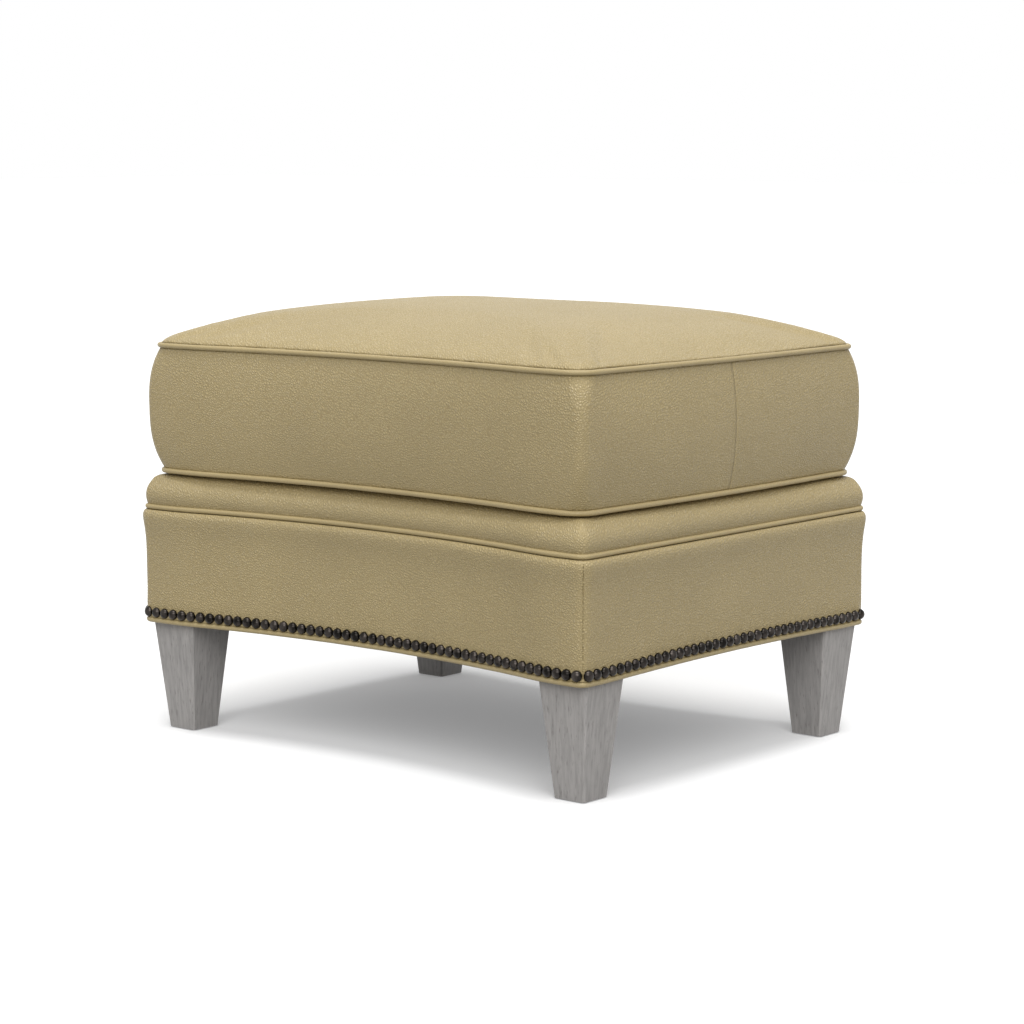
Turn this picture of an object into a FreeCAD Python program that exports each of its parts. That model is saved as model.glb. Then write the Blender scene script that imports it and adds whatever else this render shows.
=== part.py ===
import FreeCAD, Part
import math
import os

# Upholstered footstool: a scooped hardwood base on four tapered legs, with a loose boxed
# cushion on top. Millimetres, +Z up, floor at Z = 0, origin under the middle of the stool.
# The long scooped faces look to -Y (front) and +Y (back), and the straight sides to -X and +X.

# Base in plan
base_width = 649.0
base_depth = 518.0
base_corner = 12.0
scoop_depth = 31.0
scoop_straight = 8.0
ease_share = 0.2
arch_rise = 3.4

# Legs and feet
leg_inset_x = 37.0
leg_inset_y = 42.5
leg_height = 128.6
leg_foot = 40.0
leg_top = 64.6
leg_edge = 2.0
glide_diameter = 22.0
glide_thickness = 3.0
glide_proud = 1.2
glide_pin_diameter = 3.0
glide_pin_length = 15.0

# Frame
rail_thickness = 22.0
rail_height = 118.0
block_side = 120.0
block_height = 32.0
bolt_diameter = 8.0
bolt_in_leg = 50.0
bolt_above_nut = 4.0
nut_barrel_diameter = 11.0
nut_barrel_length = 14.0
nut_flange_diameter = 19.0
nut_flange_thickness = 1.6
block_screw_place = 74.0
block_screw_diameter = 4.5
block_screw_length = 50.0
block_screw_bite = 14.0
block_screw_head = 8.5
block_screw_head_height = 2.6

# Springs
spring_count = 5
spring_spacing = 104.0
spring_wire = 3.6
spring_width = 48.0
spring_pitch = 22.0
clip_length = 16.0
clip_lap = 9.0
clip_sheet = 1.3
clip_nail = 2.4
clip_nail_head = 5.0
clip_nail_length = 18.0
clip_nail_inset = 3.6
clip_nail_head_height = 1.0

# Leather and padding of the base
leather = 1.4
skirt_padding = 3.0
skirt_height = 116.1
skirt_flare = 4.0
flare_height = 12.0
skirt_lip = 8.6
skirt_lip_inset = 2.0
skirt_lip_share = 0.6
seam_round = 2.4
bottom_welt_diameter = 5.8
bottom_welt_proud = 1.4
bottom_welt_drop = 1.2
mid_welt_diameter = 5.8
mid_welt_proud = 1.0
mid_welt_rise = 12.2
roll_radius = 22.0
roll_rise = 25.0
roll_proud = 0.6
roll_foot_angle = 55.0
roll_stuffing_gap = 0.9
roll_band = 34.0
edge_roll_band = 58.0
burlap = 1.0
deck_cloth = 0.9
burlap_inset = 11.0

# Decorative nails
nail_diameter = 12.2
nail_dome = 4.2
nail_pitch = 12.95
nail_rise = 9.2
nail_shank = 2.2
nail_length = 13.0
nail_clipped = 5.0

# Dust cover under the frame
dust_cloth = 0.5
dust_inset = 12.0
staple_pitch = 62.0
staple_crown = 10.0
staple_wire = 0.8
staple_leg = 7.0

# Cushion
cushion_setback_x = 15.5
cushion_setback_y = 15.0
cushion_corner = 24.0
cushion_straight = 8.0
cushion_scoop = 22.0
cushion_side_bow = 5.0
cushion_wall = 141.0
cushion_bulge = 12.2
cushion_foot_inset = 3.0
cushion_foot_crown = 8.9
cushion_foot_band = 42.0
foot_levels = ((0.7, 0.3), (0.94, 0.65), (1, 1))
crown_height = 48.4
crown_power = 2.04
crown_edge = 0.6
crown_corner_growth = 0.32
crown_roundness = 0.7
crown_levels = (0.02, 0.07, 0.16, 0.3, 0.46, 0.63, 0.8)
cushion_welt_diameter = 5.8
wrap_thickness = 14.0
seat_gap = 0.3

# Zip in the back boxing
zip_length = 380.0
zip_gap = 8.0
zip_tape_width = 15.0
zip_tape = 0.7
zip_tooth_pitch = 3.2
zip_tooth_length = 2.0
zip_tooth_height = 2.6
zip_slot = 1.8
zip_stop = 3.0
slider_length = 9.0
slider_width = 8.4
slider_plate = 1.3
slider_neck = 1.0
bridge_bar = 1.4
bridge_gap = 2.7
bridge_span = 4.4
bridge_post = 1.0
pull_length = 26.0
pull_width = 6.5
pull_thickness = 1.3
pull_eye = 4.0

# Working clearances
layer_gap = 0.2
joint_gap = 0.1
running_gap = 0.3
eye_gap = 0.25

V = FreeCAD.Vector
UP = V(0, 0, 1)
ORIGIN = V(0, 0, 0)
corners = ((-1, -1), (1, -1), (1, 1), (-1, 1))

half_x = base_width / 2
half_y = base_depth / 2
leg_x = half_x - leg_inset_x
leg_y = half_y - leg_inset_y
cushion_half_x = half_x - cushion_setback_x
cushion_half_y = half_y - cushion_setback_y
frame_bottom = glide_proud + leg_height
frame_top = frame_bottom + rail_height
welt_bottom_z = frame_bottom - bottom_welt_drop
skirt_bottom = welt_bottom_z + bottom_welt_diameter / 2 + layer_gap
skirt_top = skirt_bottom + skirt_height
mid_welt_z = skirt_top + mid_welt_rise
roll_centre_z = skirt_top + roll_rise
roll_top = roll_centre_z + roll_radius
deck_top = roll_top
cushion_bottom = deck_top + seat_gap
rail_inset = leather + skirt_padding + 2 * layer_gap
clip_stack = 2 * clip_sheet + spring_wire + 2 * layer_gap
rabbet_depth = clip_stack + layer_gap
rabbet_width = clip_lap + spring_wire + clip_sheet + 3 * layer_gap


def save(name, shape):
    """Write one named piece, or a group of like pieces, as its own file."""
    if not shape.isValid() or not shape.Solids:
        print("check", name, shape.isValid(), len(shape.Solids))
    shape.exportStep("parts/" + name + ".step")


def unit(vector):
    copy = V(vector)
    copy.normalize()
    return copy


def straight(start, end):
    return Part.LineSegment(start, end).toShape()


def arc(start, middle, end):
    return Part.Arc(start, middle, end).toShape()


def box(low, high):
    size = high - low
    return Part.makeBox(size.x, size.y, size.z, low)


def bowed_side(start, end, bow, margin):
    """One side of a plan: straight at both ends, and bowed between them by the vector bow."""
    if bow.Length == 0:
        return [straight(start, end)]
    along = unit(end - start)
    aside = unit(bow)
    length = (end - start).Length
    reach = length / 2 - margin
    ease = ease_share * reach
    angle = 2 * math.atan(bow.Length / reach)
    ease_radius = ease / math.sin(angle)

    def eased(share, from_end):
        distance = margin + ease_radius * math.sin(angle * share)
        depth = ease_radius * (1 - math.cos(angle * share))
        if from_end:
            distance = length - distance
        return start + along * distance + aside * depth

    middle = start + along * (length / 2) + bow
    return [
        straight(start, eased(0, False)),
        arc(eased(0, False), eased(0.5, False), eased(1, False)),
        arc(eased(1, False), middle, eased(1, True)),
        arc(eased(1, True), eased(0.5, True), eased(0, True)),
        straight(eased(0, True), end),
    ]


def plan_edges(x, y, corner, scoop, z, margin, side_bow=0, side_rise=0):
    """Edges of a closed plan: scooped front and back, sides bowed outwards or arched up."""
    flat_x = x - corner
    flat_y = y - corner
    sides = (
        (V(-flat_x, -y, z), V(flat_x, -y, z), V(0, scoop, 0)),
        (V(x, -flat_y, z), V(x, flat_y, z), V(side_bow, 0, side_rise)),
        (V(flat_x, y, z), V(-flat_x, y, z), V(0, -scoop, 0)),
        (V(-x, flat_y, z), V(-x, -flat_y, z), V(-side_bow, 0, side_rise)),
    )
    turns = ((1, -1), (1, 1), (-1, 1), (-1, -1))
    edges = []
    for index, (start, end, bow) in enumerate(sides):
        edges += bowed_side(start, end, bow, margin)
        sign_x, sign_y = turns[index]
        centre = V(sign_x * flat_x, sign_y * flat_y, z)
        middle = centre + unit(V(sign_x, sign_y, 0)) * corner
        edges.append(arc(end, middle, sides[(index + 1) % 4][0]))
    return edges


def base_plan(inset, z):
    """Plan of the base, drawn in by inset from the outer face of the skirt."""
    corner = max(base_corner - inset, seam_round)
    return Part.Wire(plan_edges(half_x - inset, half_y - inset, corner, scoop_depth, z, scoop_straight))


def cushion_plan(inset, z, scoop=cushion_scoop, corner=cushion_corner, bow=cushion_side_bow):
    """Plan of the cushion, drawn in by inset from its top seam."""
    x = cushion_half_x - inset
    y = cushion_half_y - inset
    return Part.Wire(plan_edges(x, y, corner, scoop, z, cushion_straight, side_bow=bow))


def scoop_at(x):
    """How far the front and back draw in at this distance from the middle."""
    reach = half_x - base_corner - scoop_straight
    angle = 2 * math.atan(scoop_depth / reach)
    main_radius = reach * (1 - ease_share) / math.sin(angle)
    ease_radius = reach * ease_share / math.sin(angle)
    if abs(x) < reach * (1 - ease_share):
        return scoop_depth - main_radius + math.sqrt(main_radius ** 2 - x ** 2)
    rest = max(reach - abs(x), 0)
    return ease_radius - math.sqrt(ease_radius ** 2 - rest ** 2)


def prism(wire, height):
    return Part.Face(wire).extrude(UP * height)


def loft(wires):
    return Part.makeLoft(wires, True, False)


def ring(outer, inner, height):
    """Upright wall between two plans."""
    return prism(outer, height).cut(prism(inner, height))


def wedge(side):
    """Prism that holds one side of the stool, as far as the seams at its corners."""
    spare = base_corner + roll_radius
    x = half_x + spare
    y = half_y + spare
    inner = half_x - half_y
    points = {
        "front": (V(-x, -y, 0), V(x, -y, 0), V(inner, 0, 0), V(-inner, 0, 0)),
        "back": (V(-x, y, 0), V(x, y, 0), V(inner, 0, 0), V(-inner, 0, 0)),
        "left": (V(-x, -y, 0), V(-x, y, 0), V(-inner, 0, 0)),
        "right": (V(x, -y, 0), V(x, y, 0), V(inner, 0, 0)),
    }[side]
    return prism(Part.makePolygon(points + points[:1]), cushion_bottom)


def swept(edges, diameter):
    """Round cord along a path, as a solid."""
    first = edges[0]
    start = first.valueAt(first.FirstParameter)
    tangent = first.tangentAt(first.FirstParameter)
    section = Part.Wire(Part.makeCircle(diameter / 2, start, tangent))
    return Part.Wire(edges).makePipeShell([section], True, False)


def open_at_back(edges):
    """Edges of a closed plan, begun and ended at the join in the middle of the back."""
    middle = max(edges, key=lambda edge: edge.CenterOfMass.y + edge.Length)
    index = [edge.isSame(middle) for edge in edges].index(True)
    gap_share = joint_gap / middle.Length
    low = middle.FirstParameter
    span = middle.LastParameter - low
    before = middle.Curve.toShape(low, low + span * (0.5 - gap_share))
    after = middle.Curve.toShape(low + span * (0.5 + gap_share), middle.LastParameter)
    return [after] + edges[index + 1:] + edges[:index] + [before]


# Legs, each with a nylon glide under it and a bolt in its top

def make_leg(x, y):
    sections = []
    for width, z in ((leg_foot, glide_proud), (leg_top, frame_bottom)):
        half = width / 2
        edge = leg_edge
        points = []
        for sign_x, sign_y in corners:
            near_x = V(x + sign_x * half, y + sign_y * (half - edge), z)
            near_y = V(x + sign_x * (half - edge), y + sign_y * half, z)
            points += [near_x, near_y] if sign_x * sign_y > 0 else [near_y, near_x]
        sections.append(Part.makePolygon(points + points[:1]))
    leg = Part.makeLoft(sections, True, True)
    seat = Part.makeCylinder(glide_diameter / 2 + layer_gap, glide_thickness - glide_proud,
                             V(x, y, glide_proud))
    return leg.cut(seat)


def make_glide(x, y):
    pad = Part.makeCylinder(glide_diameter / 2, glide_thickness, V(x, y, 0))
    pad = pad.makeFillet(glide_proud / 2, [edge for edge in pad.Edges if edge.CenterOfMass.z == 0])
    pin = Part.makeCylinder(glide_pin_diameter / 2, glide_pin_length, V(x, y, glide_thickness))
    return pad.fuse(pin)


def make_bolt(x, y):
    length = bolt_in_leg + block_height + nut_flange_thickness + bolt_above_nut
    return Part.makeCylinder(bolt_diameter / 2, length, V(x, y, frame_bottom - bolt_in_leg))


def make_nut(x, y):
    top = frame_bottom + block_height
    hole = Part.makeCylinder(bolt_diameter / 2 + layer_gap / 2, nut_barrel_length + nut_flange_thickness,
                             V(x, y, top - nut_barrel_length))
    barrel = Part.makeCylinder(nut_barrel_diameter / 2, nut_barrel_length,
                               V(x, y, top - nut_barrel_length))
    flange = Part.makeCylinder(nut_flange_diameter / 2, nut_flange_thickness, V(x, y, top))
    return barrel.fuse(flange).cut(hole)


leg_names = ("front_left", "front_right", "back_right", "back_left")
leg_places = [(sx * leg_x, sy * leg_y) for sx, sy in corners]
for name, (x, y) in zip(leg_names, leg_places):
    save("leg_" + name, make_leg(x, y))
save("foot_glides", Part.makeCompound([make_glide(x, y) for x, y in leg_places]))
save("hanger_bolts", Part.makeCompound([make_bolt(x, y) for x, y in leg_places]))
save("tee_nuts", Part.makeCompound([make_nut(x, y) for x, y in leg_places]))


# Rails: scooped front and back, straight sides butted between them

inner_x = half_x - rail_inset - rail_thickness
outer_x = half_x - rail_inset
joint_y = half_y - rail_inset - rail_thickness
frame_ring = ring(base_plan(rail_inset, frame_bottom),
                  base_plan(rail_inset + rail_thickness, frame_bottom), rail_height)
rabbet = prism(base_plan(rail_inset + rail_thickness - rabbet_width, frame_top - rabbet_depth),
               rabbet_depth)
for name, sign in (("front", -1), ("back", 1)):
    reach = sorted((0, sign * half_y))
    rail = frame_ring.common(box(V(-half_x, reach[0], frame_bottom), V(half_x, reach[1], frame_top)))
    for side in (-1, 1):
        ends = sorted((side * (inner_x - joint_gap), side * half_x))
        rail = rail.cut(box(V(ends[0], -joint_y, frame_bottom), V(ends[1], joint_y, frame_top)))
    save(name + "_rail", rail.cut(rabbet))
for name, sign in (("left", -1), ("right", 1)):
    ends = sorted((sign * inner_x, sign * outer_x))
    rail_end = joint_y - joint_gap
    save(name + "_rail", box(V(ends[0], -rail_end, frame_bottom), V(ends[1], rail_end, frame_top)))


# Corner blocks, each glued and screwed to two rails, and bored for its leg's bolt

block_room = prism(base_plan(rail_inset + rail_thickness + joint_gap, frame_bottom), block_height)
block_screws = []
for name, (sx, sy), (x, y) in zip(leg_names, corners, leg_places):
    inner_corner = V(sx * inner_x, sy * joint_y, frame_bottom)
    along_front = inner_corner - V(sx * block_side, 0, 0)
    along_side = inner_corner - V(0, sy * block_side, 0)
    triangle = Part.makePolygon([inner_corner, along_front, along_side, inner_corner])
    block = block_room.common(prism(triangle, block_height))
    barrel_radius = nut_barrel_diameter / 2 + layer_gap / 2
    block = block.cut(Part.makeCylinder(barrel_radius, block_height, V(x, y, frame_bottom)))
    for axis in (V(sx, 0, 0), V(0, sy, 0)):
        aside = V(sx, sy, 0) - axis
        face = inner_corner - aside * block_screw_place + UP * (block_height / 2)
        face = face - V(0, axis.y, 0) * scoop_at(inner_x - block_screw_place)
        seat = face - axis * (block_screw_length - block_screw_bite)
        shank = Part.makeCylinder(block_screw_diameter / 2, block_screw_length, seat, axis)
        head = Part.makeCylinder(block_screw_head / 2, block_screw_head_height, seat, axis * -1)
        pocket = Part.makeCylinder(block_screw_head / 2 + layer_gap, block_side, seat, axis * -1)
        block = block.cut(pocket)
        block_screws.append(shank.fuse(head))
    save("corner_block_" + name, block)
save("block_screws", Part.makeCompound(block_screws))


# Sinuous springs from the front rail to the back rail, each end held in a nailed clip

def make_spring(x, end_y, z):
    """Zigzag of level cross runs joined by half turns, all in one plane."""
    runs = 2 * max(1, round(end_y / spring_pitch)) + 1
    pitch = 2 * end_y / (runs - 1)
    radius = pitch / 2
    tip = spring_width / 2 - radius
    edges = []
    for run in range(runs):
        y = -end_y + run * pitch
        side = 1 if run % 2 == 0 else -1
        edges.append(straight(V(x - side * tip, y, z), V(x + side * tip, y, z)))
        if run < runs - 1:
            centre = V(x + side * tip, y + radius, z)
            for quarter in (0, 1):
                points = []
                for step in (0, 1, 2):
                    turn = -math.pi / 2 + (quarter + step / 2) * math.pi / 2
                    points.append(centre + V(side * math.cos(turn), math.sin(turn), 0) * radius)
                edges.append(arc(*points))
    return swept(edges, spring_wire)


def make_clip(x, y, out):
    """Strap folded over the last run of a spring, with its tail nailed to the rail."""
    reach = spring_wire / 2 + layer_gap
    low = spring_z - reach - clip_sheet
    inner = -out * (reach + clip_sheet)
    profile = [
        (inner, low), (out * (reach + clip_lap), low), (out * (reach + clip_lap), low + clip_sheet),
        (-out * reach, low + clip_sheet), (-out * reach, spring_z + reach),
        (out * reach, spring_z + reach), (out * reach, spring_z + reach + clip_sheet),
        (inner, spring_z + reach + clip_sheet),
    ]
    points = [V(x - clip_length / 2, y + offset, z) for offset, z in profile]
    return Part.Face(Part.makePolygon(points + points[:1])).extrude(V(clip_length, 0, 0))


def make_clip_nail(x, y, out):
    low = spring_z - spring_wire / 2 - layer_gap
    place = V(x, y + out * (spring_wire / 2 + layer_gap + clip_lap - clip_nail_inset), low)
    shank = Part.makeCylinder(clip_nail / 2, clip_nail_length, place, UP * -1)
    return shank.fuse(Part.makeCylinder(clip_nail_head / 2, clip_nail_head_height, place))


spring_z = frame_top - layer_gap - clip_sheet - layer_gap - spring_wire / 2
clip_inset = rail_inset + rail_thickness - spring_wire / 2 - clip_sheet - 2 * layer_gap
springs, clips, clip_nails = [], [], []
for index in range(spring_count):
    x = (index - (spring_count - 1) / 2) * spring_spacing
    end_y = half_y - clip_inset - scoop_at(max(abs(x) - clip_length / 2, 0))
    springs.append(make_spring(x, end_y, spring_z))
    for out in (-1, 1):
        clips.append(make_clip(x, out * end_y, out))
        clip_nails.append(make_clip_nail(x, out * end_y, out))
save("sinuous_springs", Part.makeCompound(springs))
save("spring_clips", Part.makeCompound(clips))
save("clip_nails", Part.makeCompound(clip_nails))


# Burlap stretched over the springs, and the stuffed roll round the top of the frame

burlap_z = frame_top + layer_gap
save("burlap", prism(base_plan(burlap_inset, burlap_z), burlap))


def roll(inset, foot_z):
    """Upper part of the rounded band, offset inwards, from foot_z up to its flat top."""
    radius = roll_radius - inset
    foot_angle = math.asin((foot_z - roll_centre_z) / radius)
    steps = 6
    sections = []
    for step in range(steps + 1):
        angle = foot_angle + (math.pi / 2 - foot_angle) * step / steps
        plan_inset = roll_radius - roll_proud - radius * math.cos(angle)
        sections.append(base_plan(plan_inset, roll_centre_z + radius * math.sin(angle)))
    return loft(sections)


stuffing_inset = leather + roll_stuffing_gap
stuffing_radius = roll_radius - stuffing_inset
stuffing_foot = math.radians(roll_foot_angle)
stuffing_foot_z = roll_centre_z - stuffing_radius * math.sin(stuffing_foot)
stuffing_foot_inset = roll_radius - roll_proud - stuffing_radius * math.cos(stuffing_foot)
stuffing_bottom = burlap_z + burlap + layer_gap
stuffing = roll(stuffing_inset, stuffing_foot_z)
stuffing_base = base_plan(stuffing_foot_inset, stuffing_bottom)
stuffing = stuffing.fuse(prism(stuffing_base, stuffing_foot_z - stuffing_bottom))
edge_roll = stuffing.cut(prism(base_plan(edge_roll_band, stuffing_bottom), base_depth))
for name in ("front", "back", "left", "right"):
    save("edge_roll_" + name, edge_roll.common(wedge(name)))

cover_foot_z = mid_welt_z + mid_welt_diameter / 2 + layer_gap
roll_cover = roll(0, cover_foot_z).cut(roll(leather, cover_foot_z))
roll_cover = roll_cover.cut(prism(base_plan(roll_band, cover_foot_z), base_depth))
save("roll_cover", roll_cover)

pad_top = deck_top - deck_cloth - layer_gap
pad_plan = base_plan(edge_roll_band + layer_gap, stuffing_bottom)
save("deck_pad", prism(pad_plan, pad_top - stuffing_bottom))
save("deck_cover", prism(base_plan(roll_band + layer_gap, deck_top - deck_cloth), deck_cloth))


# Leather skirt in four panels over a thin padding, sewn at the corners and flared at its top

def skirt_body(inset):
    flare_z = skirt_top - flare_height
    lip_z = skirt_top + skirt_lip
    heights = (
        (flare_z, 0), (skirt_top - flare_height / 2, skirt_flare / 2), (skirt_top, skirt_flare),
        (skirt_top + skirt_lip / 2, skirt_flare * skirt_lip_share), (lip_z, -skirt_lip_inset),
    )
    flare = loft([base_plan(inset - out, z) for z, out in heights])
    wall = prism(base_plan(inset, skirt_bottom), flare_z - skirt_bottom)
    return wall.fuse(flare)


def arched_edge(sign, x, z):
    """Lower edge of a side, straight near the corners and arched up between them."""
    start = V(x, -sign * (half_y - base_corner), z)
    end = V(x, sign * (half_y - base_corner), z)
    return bowed_side(start, end, UP * arch_rise, scoop_straight)


skirt_shell = skirt_body(0).cut(skirt_body(leather))
for name in ("front", "back", "left", "right"):
    panel = skirt_shell.common(wedge(name))
    if name in ("left", "right"):
        sign = 1 if name == "right" else -1
        inner = half_x - rail_inset
        arch = arched_edge(1, sign * inner, skirt_bottom)
        chord = straight(arch[-1].lastVertex().Point, arch[0].firstVertex().Point)
        gap = Part.Face(Part.Wire(arch + [chord])).extrude(V(sign * (rail_inset + skirt_flare), 0, 0))
        panel = panel.cut(gap)
    save("skirt_" + name, panel)

padding_bottom = skirt_bottom + arch_rise
padding = skirt_body(leather + layer_gap).cut(prism(base_plan(rail_inset - layer_gap, skirt_bottom),
                                                    base_depth))
lowest = box(V(-base_width, -base_depth, 0), V(base_width, base_depth, padding_bottom))
highest = box(V(-base_width, -base_depth, frame_top), V(base_width, base_depth, base_width))
save("skirt_padding", padding.cut(lowest).cut(highest))


# Welts of the base: one under the skirt that follows the arched sides, one above the skirt

def welt_path(inset, z, rise):
    """Closed path round the base, with its straight sides arched up by rise."""
    x = half_x - inset
    y = half_y - inset
    return plan_edges(x, y, base_corner, scoop_depth, z, scoop_straight, side_rise=rise)


bottom_inset = bottom_welt_diameter / 2 - bottom_welt_proud
mid_inset = mid_welt_diameter / 2 - mid_welt_proud
bottom_path = welt_path(bottom_inset, welt_bottom_z, arch_rise)
save("bottom_welt", swept(open_at_back(bottom_path), bottom_welt_diameter))
save("mid_welt", swept(open_at_back(welt_path(mid_inset, mid_welt_z, 0)), mid_welt_diameter))


# Decorative nails in a row above the bottom welt, driven through the leather into the rails

def make_nail(length):
    """Domed head with its shank, standing on the XY plane and pointing up."""
    rim = nail_diameter / 2
    shank = nail_shank / 2
    sphere = (rim ** 2 + nail_dome ** 2) / (2 * nail_dome)
    half_angle = math.asin(rim / sphere) / 2
    shoulder = V(sphere * math.sin(half_angle), 0, nail_dome - sphere * (1 - math.cos(half_angle)))
    profile = [
        straight(V(0, 0, -length), V(shank, 0, -length + nail_shank)),
        straight(V(shank, 0, -length + nail_shank), V(shank, 0, 0)),
        straight(V(shank, 0, 0), V(rim, 0, 0)),
        arc(V(rim, 0, 0), shoulder, V(0, 0, nail_dome)),
        straight(V(0, 0, nail_dome), V(0, 0, -length)),
    ]
    return Part.Face(Part.Wire(profile)).revolve(ORIGIN, UP, 360)


def nail_row(index):
    """Nails at an even pitch along one face, half a pitch from the seam at each corner."""
    edges = welt_path(0, nail_z, arch_rise)
    per_side = len(edges) // 4
    side = edges[index * per_side:(index + 1) * per_side - 1]
    last_turn = edges[index * per_side - 1]
    next_turn = edges[(index + 1) * per_side - 1]
    half_turn = (next_turn.LastParameter - next_turn.FirstParameter) / 2
    start = last_turn.Curve.toShape(last_turn.LastParameter - half_turn, last_turn.LastParameter)
    end = next_turn.Curve.toShape(next_turn.FirstParameter, next_turn.FirstParameter + half_turn)
    row = Part.Wire([start] + side + [end])
    count = round(row.Length / nail_pitch)
    points = row.discretize(Number=2 * count + 1)
    nails = []
    for number in range(count):
        before, point, after = points[2 * number:2 * number + 3]
        outward = unit(V(after.x - before.x, after.y - before.y, 0)).cross(UP)
        nail = make_nail(nail_clipped if number in (0, count - 1) else nail_length)
        turn = FreeCAD.Rotation(UP, outward)
        nail.Placement = FreeCAD.Placement(point + outward * joint_gap, turn)
        nails.append(nail)
    return Part.makeCompound(nails)


nail_z = welt_bottom_z + nail_rise
for index, name in enumerate(("front", "right", "back", "left")):
    save("nails_" + name, nail_row(index))


# Dust cover stapled under the rails, with openings for the legs

dust_z = frame_bottom - dust_cloth - joint_gap
dust = prism(base_plan(dust_inset, dust_z), dust_cloth)
leg_room = leg_top / 2 + layer_gap + leg_edge / 2
for x, y in leg_places:
    dust = dust.cut(box(V(x - leg_room, y - leg_room, dust_z),
                        V(x + leg_room, y + leg_room, frame_bottom)))
save("dust_cover", dust)


def make_staple(x, y, along):
    """Wire staple with its crown under the cover and two legs up into the rail."""
    aside = V(along.y, along.x, 0)
    low = V(x, y, dust_z - staple_wire) - along * (staple_crown / 2) - aside * (staple_wire / 2)
    high = low + along * staple_crown + aside * staple_wire + UP * staple_wire
    staple = box(low, high)
    for shift in (0, staple_crown - staple_wire):
        foot = low + along * shift
        top = foot + along * staple_wire + aside * staple_wire + UP * (staple_wire + staple_leg)
        staple = staple.fuse(box(foot, top))
    return staple


staples = []
staple_inset = rail_inset + rail_thickness / 2
side_reach = leg_y - leg_top
side_count = 2 * max(1, int(side_reach / staple_pitch)) + 1
front_reach = leg_x - leg_top
front_count = 2 * max(1, int(front_reach / staple_pitch)) + 1
for sign in (-1, 1):
    for index in range(side_count):
        y = (index / (side_count - 1) * 2 - 1) * side_reach
        staples.append(make_staple(sign * (half_x - staple_inset), y, V(0, 1, 0)))
    for index in range(front_count):
        x = (index / (front_count - 1) * 2 - 1) * front_reach
        staples.append(make_staple(x, sign * (half_y - staple_inset - scoop_at(x)), V(1, 0, 0)))
save("dust_cover_staples", Part.makeCompound(staples))


# Loose cushion: foam core, fibre wrap, and a sewn leather cover with a welt round each face

foot_seam = cushion_bottom + cushion_foot_crown
top_seam = foot_seam + cushion_wall


def cushion_wall_body(inset, low, high):
    """Sides from low to high, swollen outwards halfway between the two seams."""
    steps = 4
    sections = []
    for step in range(steps + 1):
        z = low + (high - low) * step / steps
        share = (z - foot_seam) / cushion_wall
        swell = cushion_bulge * (1 - (2 * share - 1) ** 2)
        seam_inset = cushion_foot_inset * (1 - share)
        sections.append(cushion_plan(inset + seam_inset - swell, z, corner=cushion_corner + swell))
    return loft(sections)


def crown_body(inset, foot_z):
    """Crown above the top seam, steep at the welt and nearly flat in the middle."""
    half = cushion_half_y - inset
    sections = [cushion_plan(inset, foot_z)]
    for level in crown_levels:
        rise = crown_height * (1 - (1 - level) ** crown_power) ** crown_edge
        shrink = level * half
        corner = min(cushion_corner + crown_corner_growth * shrink, crown_roundness * (half - shrink))
        fade = (1 - level) ** 2
        sections.append(cushion_plan(inset + shrink, foot_z - inset + rise,
                                     cushion_scoop * fade, corner, cushion_side_bow * fade))
    return loft(sections)


def foot_body(inset, head_z):
    """Shallow crown under the lower seam, down to the flat that rests on the deck."""
    sections = [cushion_plan(inset + cushion_foot_inset, head_z)]
    for drop, share in foot_levels:
        shrink = cushion_foot_inset + cushion_foot_band * share
        z = foot_seam + inset - cushion_foot_crown * drop
        sections.append(cushion_plan(inset + shrink, z))
    return loft(sections)


def skin(outer, inner, seam_z):
    """Leather between two bodies that meet the same level at their seam."""
    faces = []
    rims = []
    for body in (outer, inner):
        for face in body.Faces:
            box_z = face.BoundBox
            if abs(box_z.ZMin - seam_z) < joint_gap and abs(box_z.ZMax - seam_z) < joint_gap:
                rims.append(face.OuterWire)
            else:
                faces.append(face)
    rim = Part.Face(rims[0]).cut(Part.Face(rims[1]))
    shell = Part.Shell(faces + rim.Faces)
    shell.sewShape()
    solid = Part.Solid(shell)
    if solid.Volume < 0:
        solid.reverse()
    return solid


welt_room = cushion_welt_diameter / 2 + layer_gap
welt_proud = cushion_welt_diameter / 2 + layer_gap - leather
pad_inset = leather + layer_gap
foam_inset = pad_inset + wrap_thickness + layer_gap
crown_foot = top_seam + welt_room
foot_head = foot_seam - welt_room
save("cushion_top_panel", skin(crown_body(0, crown_foot), crown_body(leather, crown_foot), crown_foot))
save("cushion_bottom_panel", skin(foot_body(0, foot_head), foot_body(leather, foot_head), foot_head))
save("cushion_crown_pad", crown_body(pad_inset, crown_foot))
save("cushion_foot_pad", foot_body(pad_inset, foot_head))
core_low = foot_head + layer_gap
core_high = crown_foot - layer_gap
save("cushion_foam", cushion_wall_body(foam_inset, core_low, core_high))

boxing_low = foot_seam + welt_room
boxing_high = top_seam - welt_room


def half_slab(sign, low, high):
    """Room for the front half (-1) or the back half (+1) of the cushion's sides."""
    reach = sorted((sign * joint_gap, sign * base_depth))
    return box(V(-base_width, reach[0], low), V(base_width, reach[1], high))


boxing = cushion_wall_body(0, boxing_low, boxing_high)
boxing = boxing.cut(cushion_wall_body(leather, boxing_low, boxing_high))
save("cushion_boxing", boxing.common(half_slab(-1, boxing_low, boxing_high)))


def cushion_welt(z, inset):
    edges = cushion_plan(inset - welt_proud, z).Edges
    return swept(open_at_back(edges), cushion_welt_diameter)


save("cushion_top_welt", cushion_welt(top_seam, 0))
save("cushion_bottom_welt", cushion_welt(foot_seam, cushion_foot_inset))


# Zip in the back boxing. It follows the scoop, so its pieces turn about the scoop's own centre

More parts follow.
